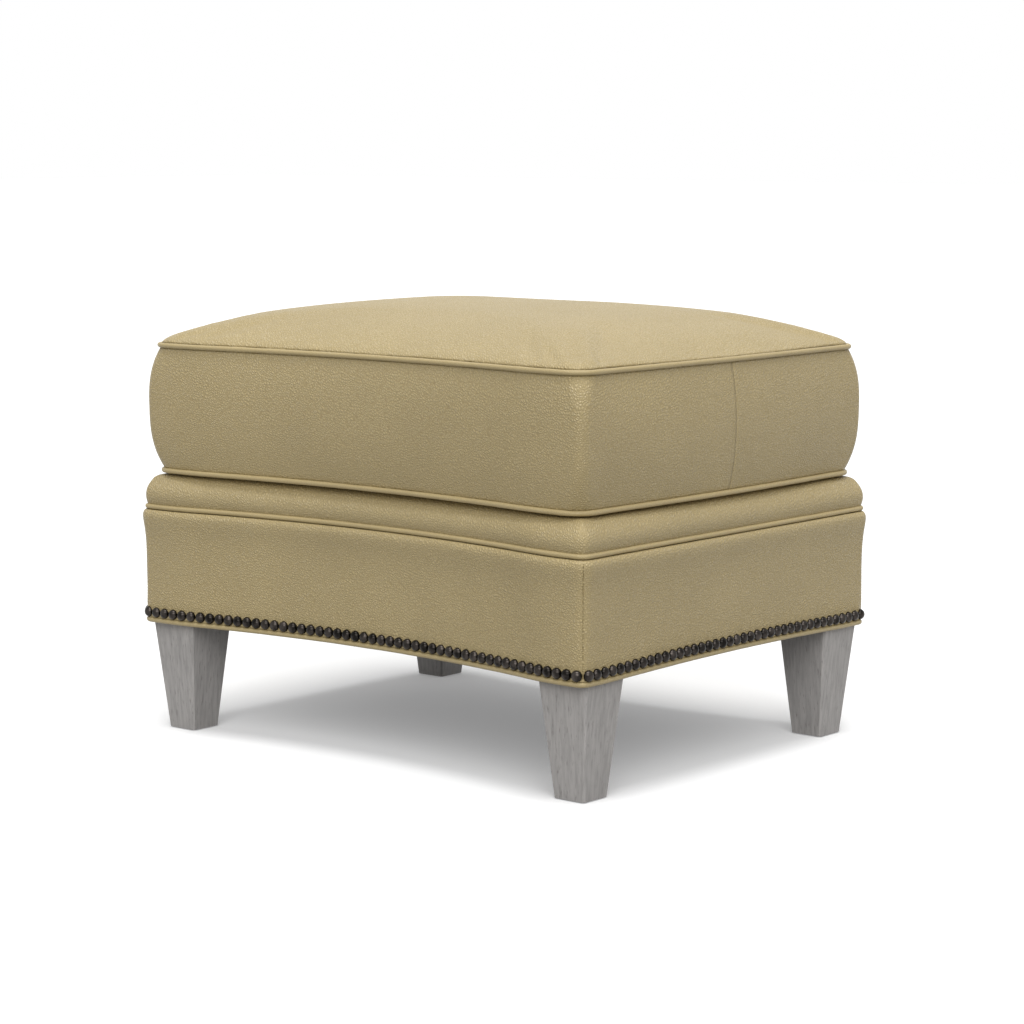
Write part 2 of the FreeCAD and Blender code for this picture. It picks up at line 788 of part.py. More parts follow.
zip_z = (foot_seam + top_seam) / 2
zip_inset = cushion_foot_inset / 2 - cushion_bulge
zip_reach = cushion_half_x - zip_inset - cushion_corner - cushion_bulge - cushion_straight
zip_turn = 2 * math.atan(cushion_scoop / zip_reach)
zip_radius = zip_reach * (1 - ease_share) / math.sin(zip_turn)
zip_centre = V(0, cushion_half_y - zip_inset - cushion_scoop + zip_radius, zip_z)


def zip_angle(length):
    return math.degrees(length / zip_radius)


def zip_block(depth_low, depth_high, z_low, z_high, start, end):
    """Block along the zip: depths are measured inwards from the leather's outer face."""
    low = V(0, -(zip_radius + depth_low), z_low)
    corners_yz = [low, V(0, low.y, z_high), V(0, -(zip_radius + depth_high), z_high),
                  V(0, -(zip_radius + depth_high), z_low)]
    face = Part.Face(Part.makePolygon(corners_yz + corners_yz[:1]))
    face.rotate(ORIGIN, UP, zip_angle(start))
    face.translate(zip_centre)
    return face.revolve(zip_centre, UP, zip_angle(end - start))


zip_half = zip_length / 2
tooth_reach = zip_slot / 2 + zip_tooth_height
tape_share = zip_tape_width / cushion_wall
tape_sag = cushion_bulge * (2 * tape_share) ** 2 + cushion_foot_inset * tape_share
tape_depth = leather + layer_gap + tape_sag
slider_back = tape_depth + zip_tape + running_gap
zip_opening = zip_block(-leather, 2 * leather, -zip_gap / 2, zip_gap / 2, -zip_half, zip_half)
save("zip_boxing", boxing.common(half_slab(1, boxing_low, boxing_high)).cut(zip_opening))
tape_room = zip_block(0, slider_back + layer_gap, -zip_tape_width - layer_gap,
                      zip_tape_width + layer_gap, -zip_half - zip_stop, zip_half + zip_stop)
slider_room = zip_block(0, slider_back + slider_plate + running_gap, -slider_width / 2 - running_gap,
                        slider_width / 2 + running_gap, -zip_half - zip_stop, zip_half + zip_stop)
wrap = cushion_wall_body(pad_inset, boxing_low, boxing_high)
wrap = wrap.cut(cushion_wall_body(foam_inset - layer_gap, boxing_low, boxing_high))
wrap = wrap.cut(tape_room).cut(slider_room)
save("cushion_side_wrap_front", wrap.common(half_slab(-1, boxing_low, boxing_high)))
save("cushion_side_wrap_back", wrap.common(half_slab(1, boxing_low, boxing_high)))

tapes = []
teeth = []
stops = []
tooth_count = int((zip_length - 2 * zip_stop) / zip_tooth_pitch)
tooth_front = -layer_gap
for side in (-1, 1):
    levels = sorted((side * zip_slot / 2, side * zip_tape_width))
    tapes.append(zip_block(tape_depth, tape_depth + zip_tape, *levels, -zip_half, zip_half))
    levels = sorted((side * zip_slot / 2, side * tooth_reach))
    for index in range(tooth_count):
        start = (index - tooth_count / 2) * zip_tooth_pitch
        teeth.append(zip_block(tooth_front, tape_depth - joint_gap, *levels,
                               start, start + zip_tooth_length))
for side in (-1, 1):
    ends = sorted((side * (zip_half - zip_stop / 2), side * zip_half))
    stops.append(zip_block(tooth_front, tape_depth - joint_gap, -tooth_reach, tooth_reach, *ends))
save("zip_tapes", Part.makeCompound(tapes))
save("zip_teeth", Part.makeCompound(teeth))
save("zip_stops", Part.makeCompound(stops))


# Slider at the closed end of the zip, straddling the teeth, and its pull on a small bridge

slider_place = zip_half - zip_stop - slider_length / 2
slider_low = slider_place - slider_length / 2
slider_high = slider_place + slider_length / 2
front_face = tooth_front - running_gap - slider_plate
half_width = slider_width / 2
bar_depth = front_face - bridge_gap
slider = zip_block(front_face, front_face + slider_plate, -half_width, half_width,
                   slider_low, slider_high)
back_plate = zip_block(slider_back, slider_back + slider_plate, -half_width, half_width,
                       slider_low, slider_high)
neck = zip_block(front_face, slider_back + slider_plate, -slider_neck / 2, slider_neck / 2,
                 slider_place - slider_length / 4, slider_place + slider_length / 4)
slider = slider.fuse([back_plate, neck])
place = zip_angle(slider_place)


def on_zip(shape):
    """Carry a shape from the middle of the zip to the slider's place."""
    shape.translate(zip_centre)
    shape.rotate(zip_centre, UP, place)
    return shape


bar_point = V(0, -(zip_radius + bar_depth), 0)
bar = Part.makeCylinder(bridge_bar / 2, bridge_span + 2 * bridge_post,
                        bar_point - UP * (bridge_span / 2 + bridge_post))
bridge = [bar]
for side in (-1, 1):
    low_z, high_z = sorted((side * bridge_span / 2, side * (bridge_span / 2 + bridge_post)))
    bridge.append(box(V(-bridge_bar / 2, -(zip_radius + front_face + slider_plate / 2), low_z),
                      V(bridge_bar / 2, bar_point.y + bridge_bar / 2, high_z)))
slider = slider.fuse([on_zip(shape) for shape in bridge])
save("zip_slider", slider)

eye_hole = bridge_bar / 2 + eye_gap
eye_height = bridge_span - 2 * running_gap
eye = Part.makeCylinder(pull_eye / 2, eye_height, bar_point - UP * (eye_height / 2))
stem = box(V(-pull_length, bar_point.y - pull_thickness / 2, -eye_height / 2),
           V(0, bar_point.y + pull_thickness / 2, eye_height / 2))
tab_start = -(pull_eye + bridge_post)
tab = box(V(-pull_length, bar_point.y - pull_thickness / 2, -pull_width / 2),
          V(tab_start, bar_point.y + pull_thickness / 2, pull_width / 2))
corner_edges = [edge for edge in tab.Edges if abs(edge.CenterOfMass.z) == pull_width / 2
                and edge.Length < 2 * pull_thickness]
tab = tab.makeFillet(pull_width / 4, corner_edges)
hole = Part.makeCylinder(eye_hole, eye_height, bar_point - UP * (eye_height / 2))
pull = eye.fuse([stem, tab]).cut(hole)
save("zip_pull", on_zip(pull))

travel = zip_angle(2 * slider_place)
pull_hinge = on_zip(Part.Vertex(bar_point)).Point
print("zip centre", zip_centre, "travel", round(travel, 3), "pull hinge", pull_hinge)
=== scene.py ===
import bpy
import bmesh
import math
import numpy as np
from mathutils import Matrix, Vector
from mathutils.kdtree import KDTree


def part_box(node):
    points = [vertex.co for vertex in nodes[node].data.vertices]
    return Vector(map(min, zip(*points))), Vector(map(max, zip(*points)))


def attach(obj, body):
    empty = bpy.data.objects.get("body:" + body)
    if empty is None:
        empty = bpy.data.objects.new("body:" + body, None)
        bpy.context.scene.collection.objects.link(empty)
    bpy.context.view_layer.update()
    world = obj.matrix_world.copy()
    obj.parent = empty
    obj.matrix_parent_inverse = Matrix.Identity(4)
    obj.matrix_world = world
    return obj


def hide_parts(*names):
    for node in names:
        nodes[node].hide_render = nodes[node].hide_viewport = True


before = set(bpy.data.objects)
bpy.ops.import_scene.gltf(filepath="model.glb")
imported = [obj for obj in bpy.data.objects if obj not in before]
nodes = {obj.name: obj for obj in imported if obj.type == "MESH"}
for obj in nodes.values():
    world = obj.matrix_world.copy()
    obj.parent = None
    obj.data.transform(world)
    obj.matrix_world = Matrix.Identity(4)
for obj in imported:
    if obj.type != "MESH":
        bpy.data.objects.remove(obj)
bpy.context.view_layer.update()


# Legs: four square tapered legs of solid oak, wire-brushed and stained a weathered grey.
# Each stands on a moulded nylon glide and screws to its corner block by a hanger bolt and tee nut.

leg_names = ("front_left", "front_right", "back_right", "back_left")
weathered_light = (0.46, 0.44, 0.425)
weathered_dark = (0.16, 0.148, 0.138)
glide_grey = (0.045, 0.042, 0.04)
zinc = (0.56, 0.55, 0.53)


def add_node(tree, kind, inputs=None, **settings):
    """One node of a tree: inputs hold values or the sockets they are linked to."""
    made = tree.nodes.new(kind)
    for key, value in settings.items():
        setattr(made, key, value)
    for key, value in (inputs or {}).items():
        if isinstance(value, bpy.types.NodeSocket):
            tree.links.new(value, made.inputs[key])
        else:
            made.inputs[key].default_value = value
    return made


def new_finish(name, roughness, metallic=0.0, more=None):
    """A material with its shader's plain values set; returns the material, tree and shader."""
    material = bpy.data.materials.new(name)
    material.use_nodes = True
    shader = material.node_tree.nodes["Principled BSDF"]
    shader.inputs["Roughness"].default_value = roughness
    shader.inputs["Metallic"].default_value = metallic
    for key, value in (more or {}).items():
        shader.inputs[key].default_value = value
    return material, material.node_tree, shader


def stretched_noise(tree, scale, stretch, detail=4.0, turn=(0, 0, 0)):
    """Noise on the piece's own coordinates, drawn out along its axes."""
    place = add_node(tree, "ShaderNodeTexCoord").outputs["Object"]
    drawn = add_node(tree, "ShaderNodeMapping", {"Vector": place, "Scale": stretch, "Rotation": turn})
    return add_node(tree, "ShaderNodeTexNoise",
                    {"Vector": drawn.outputs[0], "Scale": scale, "Detail": detail}).outputs["Fac"]


def between(tree, factor, low, high, low_at=0.0, high_at=1.0):
    """Colour that goes from low to high as the factor goes from low_at to high_at."""
    ramp = add_node(tree, "ShaderNodeValToRGB", {"Fac": factor})
    first, last = ramp.color_ramp.elements
    first.position, last.position = low_at, high_at
    first.color, last.color = (*low, 1), (*high, 1)
    return ramp.outputs["Color"]


def blended(tree, factor, a, b, kind="MIX"):
    mix = add_node(tree, "ShaderNodeMix", data_type="RGBA", blend_type=kind)
    for socket, value in ((mix.inputs[0], factor), (mix.inputs[6], a), (mix.inputs[7], b)):
        if isinstance(value, bpy.types.NodeSocket):
            tree.links.new(value, socket)
        else:
            socket.default_value = value if isinstance(value, float) else (*value, 1)
    return mix.outputs[2]


def raised(tree, shader, height, depth, strength=1.0):
    bump = add_node(tree, "ShaderNodeBump", {"Height": height, "Distance": depth, "Strength": strength})
    tree.links.new(bump.outputs["Normal"], shader.inputs["Normal"])


def dress(names, material):
    """Give a material to pieces that keep their shape from the frame."""
    for name in names:
        data = nodes[name].data
        data.materials.clear()
        data.materials.append(material)


def weathered_oak():
    material, tree, shader = new_finish("weathered_oak", 0.62)
    wave = stretched_noise(tree, 1.0, (30, 30, 5), 4)
    streaks = stretched_noise(tree, 1.0, (330, 330, 16), 6)
    pores = stretched_noise(tree, 1.0, (800, 800, 45), 3)
    streak_mask = between(tree, streaks, (0, 0, 0), (1, 1, 1), 0.3, 0.62)
    pore_mask = between(tree, pores, (0, 0, 0), (1, 1, 1), 0.30, 0.40)
    tone = blended(tree, wave, weathered_light, tuple(0.86 * c for c in weathered_light))
    tone = blended(tree, streak_mask, tuple(0.70 * c for c in weathered_light), tone)
    pore_tone = blended(tree, 0.3, weathered_dark, weathered_light)
    tone = blended(tree, pore_mask, pore_tone, tone)
    tree.links.new(tone, shader.inputs["Base Color"])
    raised(tree, shader, blended(tree, 0.35, pore_mask, streak_mask), 0.0005, 0.5)
    return material


def moulded_nylon():
    material, tree, shader = new_finish("moulded_nylon", 0.5)
    speckle = stretched_noise(tree, 900, (1, 1, 1), 2)
    tree.links.new(between(tree, speckle, glide_grey, tuple(1.6 * c for c in glide_grey)),
                   shader.inputs["Base Color"])
    raised(tree, shader, speckle, 0.0001, 0.4)
    return material


def plated_steel(name, colour, roughness):
    """Drawn or rolled steel with faint scratches and uneven plating."""
    material, tree, shader = new_finish(name, roughness, 1.0)
    cloud = stretched_noise(tree, 60, (1, 1, 1), 5)
    scratch = stretched_noise(tree, 1.0, (1400, 160, 500), 3)
    tree.links.new(between(tree, cloud, tuple(0.72 * c for c in colour), colour, 0.3, 0.7),
                   shader.inputs["Base Color"])
    rough = between(tree, scratch, (roughness * 0.8,) * 3, (min(roughness * 1.3, 1),) * 3, 0.3, 0.7)
    tree.links.new(rough, shader.inputs["Roughness"])
    raised(tree, shader, scratch, 0.00005, 0.3)
    return material


zinc_plate = plated_steel("zinc_plate", zinc, 0.34)
dress(["leg_" + name for name in leg_names], weathered_oak())
dress(["foot_glides"], moulded_nylon())
dress(["hanger_bolts", "tee_nuts", "block_screws"], zinc_plate)


# Frame: four sawn hardwood rails with a glued and screwed block in each corner.
# The wood is left bare, because leather, padding and the dust cover hide it.

bare_wood_light = (0.50, 0.34, 0.18)
bare_wood_dark = (0.29, 0.17, 0.08)
ring_count = 34.0


def worked(tree, operation, *values):
    """Result of one maths step on numbers or sockets."""
    return add_node(tree, "ShaderNodeMath", dict(enumerate(values)), operation=operation).outputs[0]


def spread(tree, value, from_low, from_high, to_low, to_high, kind="LINEAR"):
    """Value moved from one range to another."""
    return add_node(tree, "ShaderNodeMapRange",
                    {"Value": value, "From Min": from_low, "From Max": from_high,
                     "To Min": to_low, "To Max": to_high}, interpolation_type=kind).outputs[0]


def sawn_wood(name, stretch, turn=(0, 0, 0)):
    """Bare hardwood with growth rings drawn out along the board and fine saw marks across it."""
    material, tree, shader = new_finish(name, 0.72)
    rings = stretched_noise(tree, 1.0, stretch, 5, turn)
    bands = worked(tree, "SINE", worked(tree, "MULTIPLY", rings, ring_count))
    bands = spread(tree, bands, -1.0, 1.0, 0.0, 1.0)
    tone = between(tree, bands, bare_wood_dark, bare_wood_light, 0.0, 0.55)
    fibre = stretched_noise(tree, 1.0, tuple(14 * s for s in stretch), 3, turn)
    tone = blended(tree, fibre, tuple(0.86 * c for c in bare_wood_light), tone)
    tree.links.new(tone, shader.inputs["Base Color"])
    raised(tree, shader, fibre, 0.0003, 0.5)
    return material


dress(["front_rail", "back_rail"], sawn_wood("sawn_wood_long", (2.4, 20, 20)))
dress(["left_rail", "right_rail"], sawn_wood("sawn_wood_short", (20, 2.4, 20)))
dress(["corner_block_" + name for name in leg_names],
      sawn_wood("sawn_wood_block", (5, 12, 20), (0, 0, math.radians(45))))


# Springs: five sinuous springs of oiled wire, held at both ends in clips nailed to the rails.
# Coarse burlap is stretched over them and carries the deck's filling.

spring_black = (0.07, 0.075, 0.085)
jute_light = (0.42, 0.29, 0.15)
jute_dark = (0.16, 0.10, 0.05)
burlap_thread = 0.0022
cloth_square = 0.02

dress(["sinuous_springs"], plated_steel("oiled_wire", spring_black, 0.38))
dress(["spring_clips", "clip_nails"], zinc_plate)


def make_piece(name, mesh, material, body, stands_for=(), smooth=True):
    """Object for a finished mesh, riding on its body and standing for what it replaces."""
    piece = bpy.data.objects.new(name, mesh)
    bpy.context.scene.collection.objects.link(piece)
    mesh.materials.clear()
    mesh.materials.append(material)
    if smooth:
        mesh.shade_smooth()
    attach(piece, body)
    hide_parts(*stands_for)
    return piece


def evaluated(piece):
    """Plain mesh of an object with its modifiers in it; the object itself is removed."""
    graph = bpy.context.evaluated_depsgraph_get()
    mesh = bpy.data.meshes.new_from_object(piece.evaluated_get(graph))
    bpy.data.objects.remove(piece)
    return mesh


def copied(node):
    """Merged copy of a frame piece's mesh, in an object of its own."""
    piece = bpy.data.objects.new("copy_of_" + node, nodes[node].data.copy())
    bpy.context.scene.collection.objects.link(piece)
    body = bmesh.new()
    body.from_mesh(piece.data)
    bmesh.ops.remove_doubles(body, verts=body.verts, dist=1e-6)
    body.to_mesh(piece.data)
    body.free()
    return piece


def cut_cloth(node, step):
    """Copy of a flat cloth, sliced into squares so that it can sag or ripple."""
    piece = copied(node)
    low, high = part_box(node)
    body = bmesh.new()
    body.from_mesh(piece.data)
    for axis in (0, 1):
        normal = Vector((1, 0, 0)) if axis == 0 else Vector((0, 1, 0))
        for place in np.arange(low[axis] + step, high[axis] - step / 4, step):
            bmesh.ops.bisect_plane(body, geom=body.verts[:] + body.edges[:] + body.faces[:],
                                   plane_co=normal * float(place), plane_no=normal)
    body.to_mesh(piece.data)
    body.free()
    return evaluated(piece)


def points_of(mesh):
    return np.array([vertex.co for vertex in mesh.vertices]).reshape(-1, 3)


def place_points(mesh, points):
    mesh.vertices.foreach_set("co", np.asarray(points, np.float32).ravel())
    mesh.update()


def ripples(points, length, depth, seed):
    """Soft random waves over a surface, about one per length, as high as depth."""
    draw = np.random.default_rng(seed)
    total = np.zeros(len(points))
    waves = 7
    for _ in range(waves):
        way = draw.normal(size=3)
        way /= np.linalg.norm(way)
        pace = 2 * math.pi / (length * draw.uniform(0.7, 1.5))
        total += np.sin(points @ way * pace + draw.uniform(0, 2 * math.pi))
    return depth * total / math.sqrt(waves)


def woven(name, light, dark, thread, roughness, weave_depth=0.00025, turn=0.0):
    """Plain woven cloth: crossed threads on the piece's own coordinates, each a little uneven."""
    material, tree, shader = new_finish(name, roughness)
    place = add_node(tree, "ShaderNodeTexCoord").outputs["Object"]
    place = add_node(tree, "ShaderNodeMapping",
                     {"Vector": place, "Rotation": (0, 0, turn)}).outputs[0]
    parts = add_node(tree, "ShaderNodeSeparateXYZ", {"Vector": place})
    waves = []
    for axis in ("X", "Y"):
        waves.append(worked(tree, "SINE", worked(tree, "MULTIPLY", parts.outputs[axis], math.pi / thread)))
    cross = spread(tree, worked(tree, "MULTIPLY", *waves), -1.0, 1.0, 0.0, 1.0)
    slub = stretched_noise(tree, 1.0, (30, 240, 60), 3)
    tone = between(tree, cross, dark, light, 0.1, 0.8)
    tone = blended(tree, slub, tuple(0.75 * c for c in light), tone)
    tree.links.new(tone, shader.inputs["Base Color"])
    raised(tree, shader, cross, weave_depth, 0.8)
    return material


jute = woven("jute", jute_light, jute_dark, burlap_thread, 0.9)
spring_burlap = make_piece("spring_burlap", cut_cloth("burlap", cloth_square), jute,
                           "base", ["burlap"], smooth=False)


# Stuffing of the base: foam edge rolls round the top of the frame, a felted cotton pad between
# them, and a thin layer of polyester under the skirt. All of it is hidden under the covers.

foam_cream = (0.78, 0.72, 0.50)
cotton_white = (0.72, 0.69, 0.62)
fibre_white = (0.83, 0.83, 0.81)


def stuffed(name, node, material, body, voxel, easing, pressed=None):
    """Soft filling in the room that its frame solid holds, with its edges eased and perhaps pressed in."""
    piece = copied(node)
    remesh = piece.modifiers.new("even", "REMESH")
    remesh.mode = "VOXEL"
    remesh.voxel_size = voxel
    smooth = piece.modifiers.new("ease", "SMOOTH")
    smooth.factor = 0.5
    smooth.iterations = easing
    mesh = evaluated(piece)
    if pressed:
        shares, middle = pressed
        place_points(mesh, points_of(mesh) * shares + (0, 0, middle * (1 - shares[2])))
    made = make_piece(name, mesh, material, body, [node])
    return made


def felted(name, colour, size, roughness=0.95):
    """Lofted fibre or open foam: a cloudy surface with small pits."""
    material, tree, shader = new_finish(name, roughness)
    cloud = stretched_noise(tree, 1.0 / size, (1, 1, 1), 5)
    pits = stretched_noise(tree, 9.0 / size, (1, 1, 1), 3)
    tone = between(tree, cloud, tuple(0.82 * c for c in colour), colour, 0.35, 0.65)
    tree.links.new(tone, shader.inputs["Base Color"])
    raised(tree, shader, blended(tree, 0.5, cloud, pits), 0.0009, 0.7)
    return material


open_foam = felted("open_foam", foam_cream, 0.012)
cotton_felt = felted("cotton_felt", cotton_white, 0.03)
fibre_loft = felted("fibre_loft", fibre_white, 0.02)
for side in ("front", "back", "left", "right"):
    stuffed("stuffed_roll_" + side, "edge_roll_" + side, open_foam, "base", 0.005, 2)
stuffed("cotton_deck_pad", "deck_pad", cotton_felt, "base", 0.006, 2)
stuffed("skirt_fibre", "skirt_padding", fibre_loft, "base", 0.0018, 1)


# Skirt: four panels of pebbled leather over a thin padding, sewn together at the corners.
# They flare out at the top, run down to the bottom welt and are pulled in by the nails.

base_half_x, base_half_y = 0.3245, 0.259
base_corner = 0.012
least_corner = 0.0024
scoop = 0.031
scoop_straight = 0.008
arch_rise = 0.0034
ease_share = 0.2
side_points = (196, 160)
half_corner_points = 8
leather_thickness = 0.0014
skirt_low, skirt_top, skirt_lip = 0.1317, 0.2492, 0.2568
flare_out = 0.004
flare_fade = 0.018
lip_in = 0.0012
skirt_row = 0.0011
nail_row_z = 0.1378
nail_pitch = 0.01295
nail_pull = 0.0005
nail_pucker = 0.00035
nail_pull_reach, nail_pucker_rise, nail_pucker_reach = 0.008, 0.010, 0.009
arch_reach = 0.07
seam_sink = 0.0004
seam_width = 0.0008
seam_stitch = 0.0033
seam_pucker, seam_pucker_at, seam_pucker_width = 0.00016, 0.0016, 0.0012
grain_slant = (0.577, -0.577, -0.577)
grain_stretch = 0.52
leather_khaki = (0.445, 0.351, 0.172)
# Colour of the painted shade in the creases between the leather's pebbles.
leather_crease_shade = (0.26, 0.195, 0.09)
leather_gloss = (0.38, 0.55)


def bowed(place, length, depth, straight):
    """How far a side is bowed at each place from its middle: straight ends, then one soft arc."""
    reach = length / 2 - straight
    angle = 2 * math.atan(abs(depth) / reach) if depth else 1e-6
    main = reach * (1 - ease_share) / math.sin(angle)
    soft = reach * ease_share / math.sin(angle)
    far = np.clip(np.abs(place), 0, reach)
    inner = abs(depth) - main + np.sqrt(np.maximum(main ** 2 - far ** 2, 0))
    outer = soft - np.sqrt(np.maximum(soft ** 2 - (reach - far) ** 2, 0))
    return np.sign(depth) * np.where(far < reach * (1 - ease_share), inner, outer)


def plan_ring(half_x, half_y, corner, scooped, straight, bow=0.0, rise=0.0):
    """Points round a plan from the seam at the front left corner, anticlockwise from above."""
    ring = []
    for index in range(4):
        turn = index * math.pi / 2
        along = np.array([math.cos(turn), math.sin(turn), 0.0])
        out = np.array([math.sin(turn), -math.cos(turn), 0.0])
        reach, away = (half_x, half_y) if index % 2 == 0 else (half_y, half_x)
        flat = reach - corner
        bend = -scooped if index % 2 == 0 else bow
        turns = np.linspace(math.pi / 4, 0, half_corner_points, endpoint=False)
        for sign, angles in ((-1, turns), (1, turns[:0:-1])):
            if sign == 1:
                place = np.linspace(-flat, flat, side_points[index % 2])
                depth = away + bowed(place, 2 * flat, bend, straight)
                side = place[:, None] * along + depth[:, None] * out
                if index % 2 == 1 and rise:
                    side[:, 2] += bowed(place, 2 * flat, rise, straight)
                ring.append(side)
            centre = along * (sign * flat) + out * (away - corner)
            spread = (np.cos(angles)[:, None] * out + sign * np.sin(angles)[:, None] * along)
            ring.append(centre + corner * spread)
    return np.vstack(ring)


def base_ring(inset, z, rise=0.0):
    ring = plan_ring(base_half_x - inset, base_half_y - inset, max(base_corner - inset, least_corner),
                     scoop, scoop_straight, rise=rise)
    ring[:, 2] += z
    return ring


panel_lengths = [count + 2 * half_corner_points - 1 for count in side_points] * 2
panel_starts = [sum(panel_lengths[:index]) for index in range(4)]


def outward(ring):
    """Outward unit vectors, level with the floor, at the points of a ring."""
    way = np.roll(ring, -1, axis=0) - np.roll(ring, 1, axis=0)
    out = np.column_stack([way[:, 1], -way[:, 0], np.zeros(len(ring))])
    return out / np.linalg.norm(out, axis=1)[:, None]


def grid_mesh(name, grid, closed=False, missing=None):
    """Mesh of quads over rows of points; missing says which squares are left open."""
    rows, columns = grid.shape[:2]
    faces = []
    for row in range(rows - 1):
        for column in range(columns if closed else columns - 1):
            if missing is not None and missing[row, column]:
                continue
            after = (column + 1) % columns
            faces.append((row * columns + column, row * columns + after,
                          (row + 1) * columns + after, (row + 1) * columns + column))
    mesh = bpy.data.meshes.new(name)
    mesh.from_pydata(grid.reshape(-1, 3).tolist(), [], faces)
    mesh.update()
    return mesh


def thicken(piece, thickness):
    """Give a leather or cloth surface its thickness, inwards."""
    solid = piece.modifiers.new("thickness", "SOLIDIFY")
    solid.thickness = thickness
    solid.offset = -1


def steered(tree, operation, *values):
    """Result of one maths step on vectors."""
    return add_node(tree, "ShaderNodeVectorMath", dict(enumerate(values)), operation=operation).outputs[0]


def scaled(tree, way, factor):
    return add_node(tree, "ShaderNodeVectorMath", {0: way, "Scale": factor}, operation="SCALE").outputs[0]


def leather_grain():
    """Node group: rounded pebbles with creases between them, drawn out along a slant."""
    tree = bpy.data.node_groups.new("leather grain", "ShaderNodeTree")
    for name, value in (("Pebbles per metre", 300.0), ("Flow", 0.004), ("Crease width", 0.16)):
        socket = tree.interface.new_socket(name, in_out="INPUT", socket_type="NodeSocketFloat")
        socket.default_value = value
    for name in ("Height", "Crease", "Cloud"):
        tree.interface.new_socket(name, in_out="OUTPUT", socket_type="NodeSocketFloat")
    given = add_node(tree, "NodeGroupInput")
    place = add_node(tree, "ShaderNodeTexCoord").outputs["Object"]
    drift = add_node(tree, "ShaderNodeTexNoise", {"Vector": place, "Scale": 60.0, "Detail": 2.0})
    drift = steered(tree, "SUBTRACT", drift.outputs["Color"], (0.5, 0.5, 0.5))
    moved = steered(tree, "ADD", place, scaled(tree, drift, given.outputs["Flow"]))
    along = add_node(tree, "ShaderNodeVectorMath", {0: moved, 1: grain_slant}, operation="DOT_PRODUCT")
    along = worked(tree, "MULTIPLY", along.outputs["Value"], grain_stretch)
    slanted = steered(tree, "SUBTRACT", moved, scaled(tree, grain_slant, along))
    sizes = {"Vector": slanted, "Scale": given.outputs["Pebbles per metre"], "Randomness": 0.9}
    edges = add_node(tree, "ShaderNodeTexVoronoi", sizes, feature="DISTANCE_TO_EDGE").outputs["Distance"]
    fine = add_node(tree, "ShaderNodeTexNoise", {"Vector": slanted, "Scale": 1800.0, "Detail": 2.0})
    crease = spread(tree, edges, 0.0, given.outputs["Crease width"], 1.0, 0.0, "SMOOTHSTEP")
    dome = spread(tree, edges, 0.0, 0.4, 0.0, 1.0, "SMOOTHSTEP")
    height = worked(tree, "MULTIPLY_ADD", fine.outputs["Fac"], 0.12, dome)
    cloud = add_node(tree, "ShaderNodeTexNoise", {"Vector": place, "Scale": 9.0, "Detail": 4.0})
    made = add_node(tree, "NodeGroupOutput")
    tree.links.new(height, made.inputs["Height"])
    tree.links.new(crease, made.inputs["Crease"])
    tree.links.new(cloud.outputs["Fac"], made.inputs["Cloud"])
    return tree


grain_group = leather_grain()


def pebbled_leather(name, pebbles=420.0, depth=0.001, crease_shade_share=0.6):
    """Semi-matt khaki leather: pebbles, painted shade in the creases between them, and slow clouds of tone."""
    material, tree, shader = new_finish(name, 0.5, 0.0, {"Specular IOR Level": 0.5})
    grain = add_node(tree, "ShaderNodeGroup", node_tree=grain_group)
    grain.inputs["Pebbles per metre"].default_value = pebbles
    tone = between(tree, grain.outputs["Cloud"], tuple(0.96 * c for c in leather_khaki),
                   tuple(1.05 * c for c in leather_khaki), 0.3, 0.7)
    # Painted shade: the creases between the pebbles are darkened towards the crease shade colour.
    dark = worked(tree, "MULTIPLY", grain.outputs["Crease"], crease_shade_share)
    tree.links.new(blended(tree, dark, tone, leather_crease_shade), shader.inputs["Base Color"])
    rough = spread(tree, grain.outputs["Crease"], 0.0, 1.0, *leather_gloss)
    tree.links.new(rough, shader.inputs["Roughness"])
    raised(tree, shader, grain.outputs["Height"], depth, 0.7)
    return material


